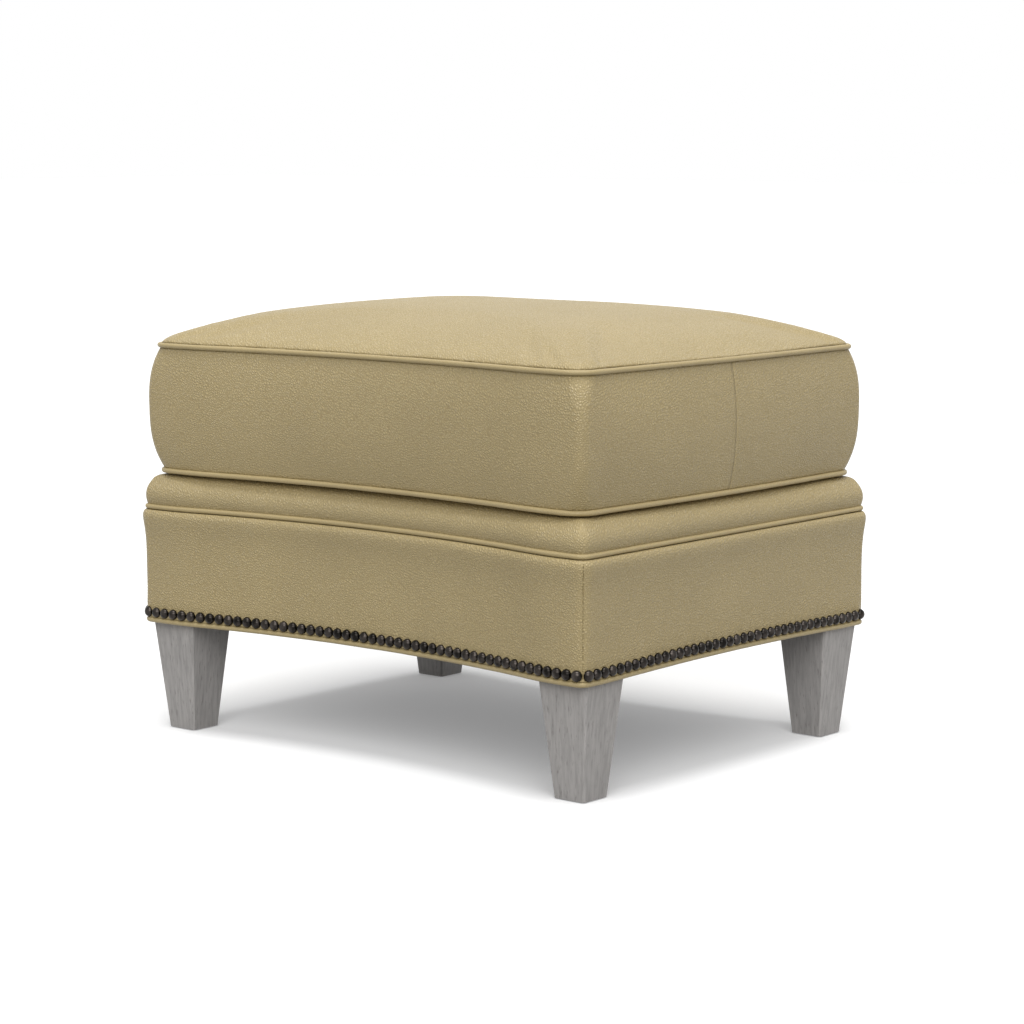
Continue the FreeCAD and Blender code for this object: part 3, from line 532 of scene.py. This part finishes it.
skirt_leather = pebbled_leather("skirt_leather")
skirt_rows = [(z, flare_out / (1 + ((skirt_top - z) / flare_fade) ** 2))
              for z in np.arange(skirt_low, skirt_top, skirt_row)]
for angle in np.linspace(0, math.pi / 2, 8):
    skirt_rows.append((skirt_top + math.sin(angle) * (skirt_lip - skirt_top),
                       flare_out - (flare_out + lip_in) * (1 - math.cos(angle))))
skirt_grid = np.array([base_ring(-out, z, arch_rise) for z, out in skirt_rows])
skirt_z = np.array([z for z, _ in skirt_rows])
arch_fade = np.clip(1 - (skirt_z - nail_row_z) / arch_reach, 0, 1)
arch_fade = arch_fade ** 2 * (3 - 2 * arch_fade)
skirt_grid[:, :, 2] = skirt_z[:, None] + (skirt_grid[:, :, 2] - skirt_z[:, None]) * arch_fade[:, None]
for index, side in enumerate(("front", "right", "back", "left")):
    first = panel_starts[index]
    columns = np.arange(first, first + panel_lengths[index] + 1) % skirt_grid.shape[1]
    panel = skirt_grid[:, columns].copy()
    out = outward(skirt_grid[0])[columns]
    steps = np.linalg.norm(np.diff(panel[0], axis=0), axis=1)
    run = np.concatenate([[0], np.cumsum(steps)])
    to_seam = np.minimum(run, run[-1] - run)
    nail_count = round(run[-1] / nail_pitch)
    above = (skirt_z - nail_row_z)[:, None]
    wave = np.cos(2 * math.pi * run / run[-1] * nail_count)[None, :]
    pull = -nail_pull * np.exp(-(above / nail_pull_reach) ** 2)
    pull = pull + nail_pucker * wave * np.exp(-((above - nail_pucker_rise) / nail_pucker_reach) ** 2)
    sink = -seam_sink * np.exp(-to_seam / seam_width)[None, :]
    stitch = np.cos(2 * math.pi * skirt_z / seam_stitch)[:, None]
    pucker = np.exp(-np.abs(to_seam - seam_pucker_at) / seam_pucker_width)
    sink = sink + seam_pucker * stitch * pucker[None, :]
    waves = ripples(panel.reshape(-1, 3), 0.09, 0.0003, 11 + index).reshape(panel.shape[:2])
    panel += (pull + sink + waves)[:, :, None] * out[None, :, :]
    skirt = make_piece("skirt_panel_" + side, grid_mesh("skirt_panel_" + side, panel), skirt_leather,
                       "base", ["skirt_" + side])
    thicken(skirt, leather_thickness)


# Base welts: leather folded and sewn over a round cord. One runs under the skirt and follows
# the arched sides, and one covers the joint between the skirt and the roll.

welt_radius = 0.0029
welt_points = 16
bottom_welt_z, bottom_welt_inset = 0.1286, 0.0015
mid_welt_z, mid_welt_inset = 0.26, 0.0019

# The welt's leather has smaller pebbles, shallower bumps and less painted shade in its creases.
welt_leather = pebbled_leather("welt_leather", pebbles=650.0, depth=0.0003, crease_shade_share=0.3)


def welt_mesh(name, ring, radius, seed):
    """Covered cord along a closed ring, a little uneven."""
    way = np.roll(ring, -1, axis=0) - np.roll(ring, 1, axis=0)
    way /= np.linalg.norm(way, axis=1)[:, None]
    out = outward(ring)
    up = np.cross(out, way)
    size = radius + ripples(ring, 0.03, 0.00007, seed)
    angles = np.linspace(0, 2 * math.pi, welt_points, endpoint=False)
    grid = [ring + size[:, None] * (math.cos(a) * out + math.sin(a) * up) for a in angles]
    grid = np.array(grid + grid[:1])
    mesh = grid_mesh(name, grid, closed=True)
    body = bmesh.new()
    body.from_mesh(mesh)
    bmesh.ops.remove_doubles(body, verts=body.verts, dist=1e-7)
    bmesh.ops.recalc_face_normals(body, faces=body.faces)
    body.to_mesh(mesh)
    body.free()
    return mesh


for name, node, ring, seed in (
        ("welt_under_skirt", "bottom_welt", base_ring(bottom_welt_inset, bottom_welt_z, arch_rise), 21),
        ("welt_over_skirt", "mid_welt", base_ring(mid_welt_inset, mid_welt_z), 22)):
    make_piece(name, welt_mesh(name, ring, welt_radius, seed), welt_leather, "base", [node])


# Roll cover: one band of leather drawn over the stuffed roll, from the mid welt up over the
# edge and in to the deck, where it is sewn to the deck cloth.

roll_radius = 0.022
roll_centre_z = 0.2728
roll_proud = 0.0006
roll_foot_z = 0.2605
roll_band = 0.034
roll_rows = 20
roll_crown = 0.0022
deck_rows = 6

roll_grid = []
roll_foot = math.asin((roll_foot_z - roll_centre_z) / roll_radius)
for angle in np.linspace(roll_foot, math.pi / 2, roll_rows):
    inset = roll_radius - roll_proud - roll_radius * math.cos(angle)
    roll_grid.append(base_ring(inset, roll_centre_z + roll_radius * math.sin(angle)))
flat_from = roll_radius - roll_proud
for inset in np.linspace(flat_from, roll_band, deck_rows)[1:]:
    roll_grid.append(base_ring(inset, roll_centre_z + roll_radius))
roll_grid = np.array(roll_grid)
roll_inset = base_half_y - np.abs(roll_grid[:, panel_starts[2] + half_corner_points, 1])
roll_rise = np.interp(roll_inset, (0.005, 0.009, 0.013, 0.024, 0.030, roll_band),
                      (0, 0.0012, roll_crown, roll_crown, 0.001, 0))
roll_grid[:, :, 2] += roll_rise[:, None]
roll_fade = np.ones(len(roll_grid))
roll_fade[:3] = (0, 0.3, 0.7)
roll_fade[-deck_rows:] = 0
roll_waves = ripples(roll_grid.reshape(-1, 3), 0.07, 0.00045, 31).reshape(roll_grid.shape[:2])
roll_out = outward(roll_grid[0])
roll_grid += (np.minimum(roll_waves, 0) * roll_fade[:, None])[:, :, None] * roll_out[None, :, :]
roll = make_piece("roll_leather", grid_mesh("roll_leather", roll_grid, closed=True), skirt_leather,
                  "base", ["roll_cover"])
thicken(roll, leather_thickness)


# Deck cloth: a plain twill that covers the deck under the loose cushion.

twill_light = (0.30, 0.245, 0.145)
twill_dark = (0.15, 0.115, 0.065)

twill = woven("deck_twill", twill_light, twill_dark, 0.0009, 0.85, 0.00012, math.radians(45))
deck_cloth = make_piece("deck_twill", cut_cloth("deck_cover", cloth_square), twill,
                        "base", ["deck_cover"], smooth=False)


# Nails: one row of domed steel nails with a dark gunmetal finish above the bottom welt.
# They are driven edge to edge through the leather, with a nail each side of every corner.

gunmetal_dark = (0.012, 0.011, 0.010)
gunmetal_light = (0.058, 0.050, 0.045)
nail_radius, nail_dome = 0.0063, 0.0056
nail_sides, nail_rings = 14, 5
nail_sunk = 0.0004
dome_end = 0.94


def row_tree(name, domed, sides, rings):
    """Geometry nodes that set small items along a row: domed heads, or stitches of thread."""
    tree = bpy.data.node_groups.new(name, "GeometryNodeTree")
    tree.interface.new_socket("Row", in_out="INPUT", socket_type="NodeSocketGeometry")
    for label in ("Length", "Width", "Height", "Unevenness"):
        tree.interface.new_socket(label, in_out="INPUT", socket_type="NodeSocketFloat")
    tree.interface.new_socket("Finish", in_out="INPUT", socket_type="NodeSocketMaterial")
    tree.interface.new_socket("Items", in_out="OUTPUT", socket_type="NodeSocketGeometry")
    given = add_node(tree, "NodeGroupInput").outputs
    if domed:
        item = add_node(tree, "GeometryNodeMeshCylinder", {"Vertices": sides, "Side Segments": rings,
                                                           "Radius": 1.0, "Depth": 2.0}).outputs["Mesh"]
        place = add_node(tree, "GeometryNodeInputPosition").outputs[0]
        place = add_node(tree, "ShaderNodeSeparateXYZ", {"Vector": place})
        turn = spread(tree, place.outputs["Z"], -1.0, 1.0, 0.0, dome_end * math.pi / 2)
        flat = add_node(tree, "ShaderNodeCombineXYZ", {"X": place.outputs["X"], "Y": place.outputs["Y"]})
        wide = scaled(tree, flat.outputs[0], worked(tree, "COSINE", turn))
        high = add_node(tree, "ShaderNodeCombineXYZ", {"Z": worked(tree, "SINE", turn)}).outputs[0]
        shape = steered(tree, "ADD", wide, high)
        item = add_node(tree, "GeometryNodeSetPosition", {"Geometry": item, "Position": shape}).outputs[0]
    else:
        item = add_node(tree, "GeometryNodeMeshUVSphere",
                        {"Segments": sides, "Rings": rings, "Radius": 1.0}).outputs["Mesh"]
    size = add_node(tree, "ShaderNodeCombineXYZ",
                    {"X": given["Length"], "Y": given["Width"], "Z": given["Height"]}).outputs[0]
    chance = add_node(tree, "FunctionNodeRandomValue", {"Seed": 7}, data_type="FLOAT")
    tree.links.new(worked(tree, "SUBTRACT", 1.0, given["Unevenness"]), chance.inputs[2])
    size = scaled(tree, size, chance.outputs[1])
    ways = [add_node(tree, "GeometryNodeInputNamedAttribute", {"Name": label},
                     data_type="FLOAT_VECTOR").outputs["Attribute"] for label in ("facing", "heading")]
    turned = add_node(tree, "FunctionNodeAlignRotationToVector", {"Vector": ways[0]}, axis="Z").outputs[0]
    turned = add_node(tree, "FunctionNodeAlignRotationToVector", {"Rotation": turned, "Vector": ways[1]},
                      axis="X", pivot_axis="Z").outputs[0]
    row = add_node(tree, "GeometryNodeInstanceOnPoints", {"Points": given["Row"], "Instance": item,
                                                         "Rotation": turned, "Scale": size}).outputs[0]
    row = add_node(tree, "GeometryNodeRealizeInstances", {"Geometry": row}).outputs[0]
    row = add_node(tree, "GeometryNodeSetShadeSmooth", {"Geometry": row}).outputs[0]
    row = add_node(tree, "GeometryNodeSetMaterial", {"Geometry": row, "Material": given["Finish"]})
    made = add_node(tree, "NodeGroupOutput")
    tree.links.new(row.outputs[0], made.inputs[0])
    return tree


def set_in_row(name, tree, places, facing, heading, size, unevenness, material):
    """Mesh of the items that a row tree sets at the given places."""
    mesh = bpy.data.meshes.new(name)
    mesh.from_pydata(np.asarray(places).tolist(), [], [])
    for label, values in (("facing", facing), ("heading", heading)):
        kept = mesh.attributes.new(label, "FLOAT_VECTOR", "POINT")
        kept.data.foreach_set("vector", np.asarray(values, np.float32).ravel())
    piece = bpy.data.objects.new(name, mesh)
    bpy.context.scene.collection.objects.link(piece)
    setter = piece.modifiers.new("row", "NODES")
    setter.node_group = tree
    values = dict(zip(("Length", "Width", "Height"), size), Unevenness=unevenness, Finish=material)
    for socket in tree.interface.items_tree:
        if socket.in_out == "INPUT" and socket.name in values:
            setter[socket.identifier] = values[socket.name]
    return evaluated(piece)


def spaced(line, pitch, margin=0.5):
    """Evenly spaced places along a line of points, margin of a pitch from both its ends."""
    run = np.concatenate([[0], np.cumsum(np.linalg.norm(np.diff(line, axis=0), axis=1))])
    count = round(run[-1] / pitch)
    at = (np.arange(count) + margin) * run[-1] / count
    places = np.column_stack([np.interp(at, run, line[:, axis]) for axis in range(3)])
    ahead = np.column_stack([np.interp(at + 1e-4, run, line[:, axis]) for axis in range(3)])
    behind = np.column_stack([np.interp(at - 1e-4, run, line[:, axis]) for axis in range(3)])
    heading = ahead - behind
    return places, heading / np.linalg.norm(heading, axis=1)[:, None]


def gunmetal():
    material, tree, shader = new_finish("gunmetal", 0.25, 1.0)
    cloud = stretched_noise(tree, 110, (1, 1, 1), 4)
    tree.links.new(between(tree, cloud, gunmetal_dark, gunmetal_light, 0.35, 0.7),
                   shader.inputs["Base Color"])
    rough = between(tree, cloud, (0.18,) * 3, (0.34,) * 3, 0.3, 0.7)
    tree.links.new(rough, shader.inputs["Roughness"])
    raised(tree, shader, cloud, 0.0002, 0.25)
    return material


gunmetal_finish = gunmetal()
nail_tree = row_tree("nail row", True, nail_sides, nail_rings)
nail_ring = base_ring(0, nail_row_z, arch_rise)
for index, side in enumerate(("front", "right", "back", "left")):
    first = panel_starts[index]
    columns = np.arange(first, first + panel_lengths[index] + 1) % len(nail_ring)
    places, heading = spaced(nail_ring[columns], nail_pitch)
    facing = np.column_stack([heading[:, 1], -heading[:, 0], np.zeros(len(heading))])
    facing /= np.linalg.norm(facing, axis=1)[:, None]
    nails = set_in_row("nail_heads_" + side, nail_tree, places - nail_sunk * facing, facing, heading,
                       (nail_radius, nail_radius, nail_dome), 0.03, gunmetal_finish)
    make_piece("nail_heads_" + side, nails, gunmetal_finish, "base", ["nails_" + side])


# Dust cover: black non-woven cambric stapled under the rails, with openings for the legs.
# It sags a little between the rails.

cambric_light = (0.018, 0.018, 0.019)
cambric_dark = (0.006, 0.006, 0.007)
dust_sag = 0.006
dust_free_x, dust_free_y = 0.26, 0.19

dust_mesh = cut_cloth("dust_cover", cloth_square)
dust_points = points_of(dust_mesh)
reach_x = np.clip(1 - (dust_points[:, 0] / dust_free_x) ** 2, 0, 1)
reach_y = np.clip(1 - (dust_points[:, 1] / dust_free_y) ** 2, 0, 1)
hang = reach_x * reach_y
dust_points[:, 2] -= dust_sag * hang + np.abs(ripples(dust_points, 0.12, 0.0012, 41)) * np.sqrt(hang)
place_points(dust_mesh, dust_points)
cambric = woven("cambric", cambric_light, cambric_dark, 0.0016, 0.9, 0.00008)
dust_cambric = make_piece("dust_cambric", dust_mesh, cambric, "base", ["dust_cover"],
                          smooth=False)
dress(["dust_cover_staples"], zinc_plate)


# Cushion filling: a foam core in a thick fibre wrap, with lofted pads above and below it.
# The leather presses all of it in a little towards the middle of the cushion.

cushion_press = ((0.972, 0.966, 0.93), 0.352)

for name, node, material, slot_name, voxel, easing, fill in (
        ("foam_core", "cushion_foam", open_foam, "foam", 0.007, 2, 0.9),
        ("crown_fibre", "cushion_crown_pad", fibre_loft, "polyester_wrap", 0.006, 2, 0.8),
        ("foot_fibre", "cushion_foot_pad", fibre_loft, "polyester_wrap", 0.004, 1, 0.8),
        ("side_fibre_front", "cushion_side_wrap_front", fibre_loft, "polyester_wrap", 0.004, 1, 0.7),
        ("side_fibre_back", "cushion_side_wrap_back", fibre_loft, "polyester_wrap", 0.004, 1, 0.7)):
    stuffed(name, node, material, "cushion", voxel, easing, cushion_press)


# Cushion cover: a crowned top panel and a nearly flat bottom panel, sewn to upright boxing
# with a welt in each seam. The back half of the boxing is a separate piece that holds the zip.

cushion_half_x, cushion_half_y = 0.3125, 0.2485
cushion_corner = 0.024
cushion_straight = 0.008
cushion_scoop = 0.022
cushion_bow = 0.005
foot_seam_z, top_seam_z = 0.3017, 0.445
foot_inset = 0.0018
foot_band = 0.058
cushion_low = 0.2951
bulge = 0.0084
bulge_power = 2.8
bulge_corner = 0.012
seam_room = 0.0031
crown_height = 0.0484
crown_power, crown_edge = 2.04, 0.6
corner_growth, crown_roundness = 0.32, 0.7
wall_rows, crown_rows, foot_rows = 48, 56, 30
zip_z = (foot_seam_z + top_seam_z) / 2
zip_half_gap = 0.004
zip_half_length = 0.19
join_sink, join_width = 0.0009, 0.0016
cloth_voxel, cloth_frames, cloth_cap, cloth_pressure = 0.006, 20, 0.004, 4.0
cloth_swell = 0.0036


def cushion_ring(inset, z, scooped=cushion_scoop, corner=cushion_corner, bow=cushion_bow):
    ring = plan_ring(cushion_half_x - inset, cushion_half_y - inset, corner, scooped, cushion_straight, bow)
    ring[:, 2] += z
    return ring


def wall_ring(z):
    share = (z - foot_seam_z) / (top_seam_z - foot_seam_z)
    swell = 1 - abs(2 * share - 1) ** bulge_power
    return cushion_ring(foot_inset * (1 - share) - bulge * swell, z,
                        corner=cushion_corner + (bulge_corner - cushion_corner) * swell)


def crown_ring(level):
    shrink = level * cushion_half_y
    rise = crown_height * (1 - (1 - level) ** crown_power) ** crown_edge
    corner = min(cushion_corner + corner_growth * shrink, crown_roundness * (cushion_half_y - shrink))
    fade = (1 - level) ** 2
    return cushion_ring(shrink, top_seam_z + seam_room + rise, cushion_scoop * fade, corner,
                        cushion_bow * fade)


def foot_ring(share):
    drop = (foot_seam_z - seam_room - cushion_low) * (1 - (1 - min(share, 1)) ** 3)
    return cushion_ring(foot_inset + foot_band * share, foot_seam_z - seam_room - drop)


crown_levels = np.linspace(0, 1, crown_rows) ** 1.5 * 0.985
crown_grid = np.array([crown_ring(level) for level in crown_levels])
foot_shares = np.linspace(0, 1, foot_rows) ** 1.4 * (cushion_half_y - foot_inset) * 0.985 / foot_band
foot_grid = np.array([foot_ring(share) for share in foot_shares])[::-1]
slot_rows = (zip_z - zip_half_gap, zip_z + zip_half_gap)
wall_z = np.concatenate([np.linspace(foot_seam_z + seam_room / 2, slot_rows[0], wall_rows // 2),
                         np.linspace(*slot_rows, 5)[1:-1],
                         np.linspace(slot_rows[1], top_seam_z - seam_room / 2, wall_rows // 2)])
wall_grid = np.array([wall_ring(z) for z in wall_z])

cover_leather = pebbled_leather("cover_leather")


def capped(mesh, row, columns, upwards):
    """Close a panel across its middle."""
    body = bmesh.new()
    body.from_mesh(mesh)
    body.verts.ensure_lookup_table()
    ring = [body.verts[row * columns + column] for column in range(columns)]
    face = body.faces.new(ring if upwards else ring[::-1])
    bmesh.ops.triangulate(body, faces=[face])
    body.to_mesh(mesh)
    body.free()


def swollen(grid):
    """Let a closed copy of the cover swell as cloth; returns where the grid's points go."""
    mesh = grid_mesh("cover_pattern", grid, closed=True)
    capped(mesh, 0, grid.shape[1], False)
    capped(mesh, grid.shape[0] - 1, grid.shape[1], True)
    piece = bpy.data.objects.new("cover_pattern", mesh)
    bpy.context.scene.collection.objects.link(piece)
    even = piece.modifiers.new("even", "REMESH")
    even.mode = "VOXEL"
    even.voxel_size = cloth_voxel
    piece = bpy.data.objects.new("cover_cloth", evaluated(piece))
    bpy.context.scene.collection.objects.link(piece)
    start = points_of(piece.data)
    to_seam = np.minimum(np.abs(start[:, 2] - top_seam_z), np.abs(start[:, 2] - foot_seam_z))
    held = np.where(start[:, 2] < foot_seam_z, 1, np.clip(1.3 - to_seam / cloth_voxel, 0, 1))
    sewn = piece.vertex_groups.new(name="sewn")
    for index in np.flatnonzero(held):
        sewn.add([int(index)], float(held[index]), "REPLACE")
    cloth = piece.modifiers.new("cloth", "CLOTH")
    cloth.collision_settings.use_collision = False
    leather = cloth.settings
    leather.quality = 4
    leather.mass = 0.4
    leather.tension_stiffness = leather.compression_stiffness = 12
    leather.shear_stiffness = 6
    leather.bending_stiffness = 2
    leather.use_pressure = True
    leather.uniform_pressure_force = cloth_pressure
    leather.vertex_group_mass = "sewn"
    leather.effector_weights.gravity = 0
    for frame_number in range(1, cloth_frames + 1):
        bpy.context.scene.frame_set(frame_number)
    moved = points_of(evaluated(piece)) - start
    bpy.context.scene.frame_set(1)
    length = np.linalg.norm(moved, axis=1)[:, None]
    moved *= np.minimum(1, cloth_cap / np.maximum(length, 1e-9))
    tree = KDTree(len(start))
    for index, place in enumerate(start):
        tree.insert(place, index)
    tree.balance()
    points = grid.reshape(-1, 3).copy()
    for index, place in enumerate(points):
        near = tree.find_n(place, 4)
        weight = np.array([1 / (distance + 1e-4) for _, _, distance in near])
        points[index] = place + weight @ moved[[number for _, number, _ in near]] / weight.sum()
    return points.reshape(grid.shape)


def joined(grid):
    """Sink the upright joins in the middle of the boxing's two short sides."""
    from_join = np.where(np.abs(grid[:, :, 0]) > cushion_half_x / 2, np.abs(grid[:, :, 1]), 1)
    grid -= (join_sink * np.exp(-from_join / join_width))[:, :, None] * outward(grid[0])[None, :, :]


crown_grid[:, :, 2] -= cloth_swell * np.clip(crown_levels * 5, 0, 1)[:, None]
counts = (len(foot_grid), len(foot_grid) + len(wall_grid))
whole_cover = swollen(np.vstack([foot_grid, wall_grid, crown_grid]))
foot_grid, wall_grid, crown_grid = np.split(whole_cover, counts)
joined(wall_grid)

half_turn = panel_starts[1] + half_corner_points + side_points[1] // 2
other_turn = panel_starts[3] + half_corner_points + side_points[1] // 2
columns_front = np.arange(other_turn - wall_grid.shape[1], half_turn + 1) % wall_grid.shape[1]
columns_back = np.arange(half_turn, other_turn + 1)
back_panel = wall_grid[:, columns_back]
middle_z = (wall_z[:-1] + wall_z[1:]) / 2
in_zip = np.abs(back_panel[:-1, :-1, 0]) < zip_half_length
in_zip &= (np.abs(middle_z - zip_z) < zip_half_gap)[:, None]

top_mesh = grid_mesh("top_leather", crown_grid, closed=True)
capped(top_mesh, len(crown_grid) - 1, crown_grid.shape[1], True)
foot_mesh = grid_mesh("foot_leather", foot_grid, closed=True)
capped(foot_mesh, 0, foot_grid.shape[1], False)
front_mesh = grid_mesh("front_boxing_leather", wall_grid[:, columns_front])
back_mesh = grid_mesh("back_boxing_leather", back_panel, missing=in_zip)
for name, mesh, node in (("top_leather", top_mesh, "cushion_top_panel"),
                         ("foot_leather", foot_mesh, "cushion_bottom_panel"),
                         ("front_boxing_leather", front_mesh, "cushion_boxing"),
                         ("back_boxing_leather", back_mesh, "zip_boxing")):
    panel = make_piece(name, mesh, cover_leather, "cushion", [node])
    thicken(panel, leather_thickness)

cushion_welt_out = welt_radius + 0.0002 - leather_thickness
for name, node, z, inset, seed in (("welt_round_top", "cushion_top_welt", top_seam_z, 0, 51),
                                   ("welt_round_foot", "cushion_bottom_welt", foot_seam_z, foot_inset, 52)):
    welt = welt_mesh(name, cushion_ring(inset - cushion_welt_out, z), welt_radius, seed)
    make_piece(name, welt, welt_leather, "cushion", [node])


# Zip: woven tapes behind the slot in the back boxing, two rows of moulded teeth with stops,
# and a metal slider with its pull.

tape_light = (0.26, 0.21, 0.125)
tape_dark = (0.13, 0.10, 0.06)
tooth_khaki = (0.20, 0.165, 0.10)
old_nickel = (0.30, 0.27, 0.22)

zip_nickel = plated_steel("old_nickel", old_nickel, 0.32)
dress(["zip_slider", "zip_pull", "zip_stops"], zip_nickel)


def moulded_teeth():
    material, tree, shader = new_finish("moulded_teeth", 0.42)
    cloud = stretched_noise(tree, 300, (1, 1, 1), 3)
    tree.links.new(between(tree, cloud, tuple(0.8 * c for c in tooth_khaki), tooth_khaki),
                   shader.inputs["Base Color"])
    raised(tree, shader, cloud, 0.00005, 0.3)
    return material


dress(["zip_teeth"], moulded_teeth())
zip_cloth = woven("zip_tape_cloth", tape_light, tape_dark, 0.0008, 0.8, 0.0001)
make_piece("zip_tape_cloth", evaluated(copied("zip_tapes")), zip_cloth, "cushion", ["zip_tapes"],
           smooth=False)


# Stitches: waxed thread along both lips of the zip, down the two joins of the boxing, and
# where the roll's leather is sewn to the deck cloth.

thread_khaki = (0.47, 0.40, 0.25)
stitch_pitch, stitch_half_length, stitch_half_width = 0.0034, 0.00125, 0.0003
lip_margin = 0.0028


def waxed_thread():
    material, tree, shader = new_finish("waxed_thread", 0.5)
    twist = stretched_noise(tree, 900, (1, 1, 1), 2)
    tree.links.new(between(tree, twist, tuple(0.7 * c for c in thread_khaki), thread_khaki, 0.3, 0.7),
                   shader.inputs["Base Color"])
    raised(tree, shader, twist, 0.0001, 0.4)
    return material


def stitched(name, lines, facings, body, half_length=stitch_half_length):
    """One piece of thread stitches along lines of points, each with its outward ways."""
    rows = []
    for line, ways in zip(lines, facings):
        places, heading = spaced(line, stitch_pitch)
        near = np.argmin(np.linalg.norm(places[:, None] - line[None], axis=2), axis=1)
        rows.append((places, ways[near], heading))
    places, ways, heading = (np.vstack(column) for column in zip(*rows))
    size = (half_length, stitch_half_width, stitch_half_width)
    mesh = set_in_row(name, stitch_tree, places, ways, heading, size, 0.12, thread_finish)
    return make_piece(name, mesh, thread_finish, body)


thread_finish = waxed_thread()
stitch_tree = row_tree("stitch row", False, 8, 5)
wall_out = outward(wall_grid[0])
zip_reach = zip_half_length + lip_margin
zip_columns = [column for column in columns_back if abs(wall_grid[0, column, 0]) < zip_reach]
zip_lines, zip_ways = [], []
for height in (zip_z - zip_half_gap - lip_margin, zip_z + zip_half_gap + lip_margin):
    row = int(np.argmin(np.abs(wall_z - height)))
    zip_lines.append(wall_grid[row, zip_columns] + 0.0001 * wall_out[zip_columns])
    zip_ways.append(wall_out[zip_columns])
stitched("zip_stitches", zip_lines, zip_ways, "cushion")
join_lines = [wall_grid[:, column] for column in (half_turn, other_turn)]
join_ways = [np.repeat(wall_out[[column]], len(wall_grid), axis=0) for column in (half_turn, other_turn)]
stitched("boxing_join_stitches", join_lines, join_ways, "cushion")
deck_line = base_ring(roll_band - lip_margin, roll_centre_z + roll_radius + 0.0001)
deck_ways = np.tile((0.0, 0.0, 1.0), (len(deck_line), 1))
stitched("deck_seam_stitches", [deck_line], [deck_ways], "base")


# Room: a plain pale floor, an even white surround, a soft lamp overhead and a soft one in front.

floor_size = 30.0
floor_tone, floor_unseen_tone, floor_lift = 0.82, 0.27, 0.2
surround_level = 0.45


def seen_rays(tree):
    """1 where the camera, or a gloss or glass, looks; 0 for the light that falls on the object."""
    rays = add_node(tree, "ShaderNodeLightPath").outputs
    seen = worked(tree, "MAXIMUM", rays["Is Camera Ray"], rays["Is Glossy Ray"])
    return worked(tree, "MAXIMUM", seen, rays["Is Transmission Ray"])


def stage_floor():
    mesh = bpy.data.meshes.new("floor")
    corners = [(x * floor_size, y * floor_size, 0) for x, y in ((-1, -1), (1, -1), (1, 1), (-1, 1))]
    mesh.from_pydata(corners, [], [(0, 1, 2, 3)])
    floor = bpy.data.objects.new("floor", mesh)
    bpy.context.scene.collection.objects.link(floor)
    material = bpy.data.materials.new("pale_floor")
    material.use_nodes = True
    tree = material.node_tree
    tree.nodes.remove(tree.nodes["Principled BSDF"])
    plain = add_node(tree, "ShaderNodeBsdfDiffuse", {"Color": (*(floor_tone,) * 3, 1)})
    lift = add_node(tree, "ShaderNodeEmission", {"Color": (1, 1, 1, 1), "Strength": floor_lift})
    both = add_node(tree, "ShaderNodeAddShader", {0: plain.outputs[0], 1: lift.outputs[0]})
    unseen = add_node(tree, "ShaderNodeBsdfDiffuse", {"Color": (*(floor_unseen_tone,) * 3, 1)})
    mix = add_node(tree, "ShaderNodeMixShader", {0: seen_rays(tree), 1: unseen.outputs[0], 2: both.outputs[0]})
    tree.links.new(mix.outputs[0], tree.nodes["Material Output"].inputs["Surface"])
    mesh.materials.append(material)


def white_surround(strength):
    world = bpy.data.worlds.new("surround")
    bpy.context.scene.world = world
    world.use_nodes = True
    tree = world.node_tree
    shown = tree.nodes["Background"]
    shown.inputs["Color"].default_value = (1, 1, 1, 1)
    tree.links.new(spread(tree, seen_rays(tree), 0.0, 1.0, strength, 1.0), shown.inputs["Strength"])


def soft_lamp(name, tilt, width, level):
    """Far soft lamp, as wide as width in degrees; at level 1 it alone lights white to white."""
    lamp = bpy.data.lights.new(name, "SUN")
    lamp.angle = math.radians(width)
    lamp.energy = level * math.pi
    holder = bpy.data.objects.new(name, lamp)
    bpy.context.scene.collection.objects.link(holder)
    holder.rotation_euler = tilt


stage_floor()
white_surround(surround_level)
soft_lamp("overhead", (math.radians(6), 0, math.radians(40)), 30, 0.62)
soft_lamp("front", (math.radians(55), 0, math.radians(40)), 40, 0.50)

camera = bpy.data.objects.new("camera", bpy.data.cameras.new("camera"))
bpy.context.scene.collection.objects.link(camera)
camera.data.sensor_width = 36.0
camera.data.lens = 102.7
camera.location = (2.1389, -2.5383, 0.6866)
look_at = Vector((-0.0596, 0.0871, 0.24))
camera.rotation_euler = (look_at - camera.location).to_track_quat("-Z", "Y").to_euler()
bpy.context.scene.camera = camera
bpy.context.scene.view_settings.view_transform = "Standard"
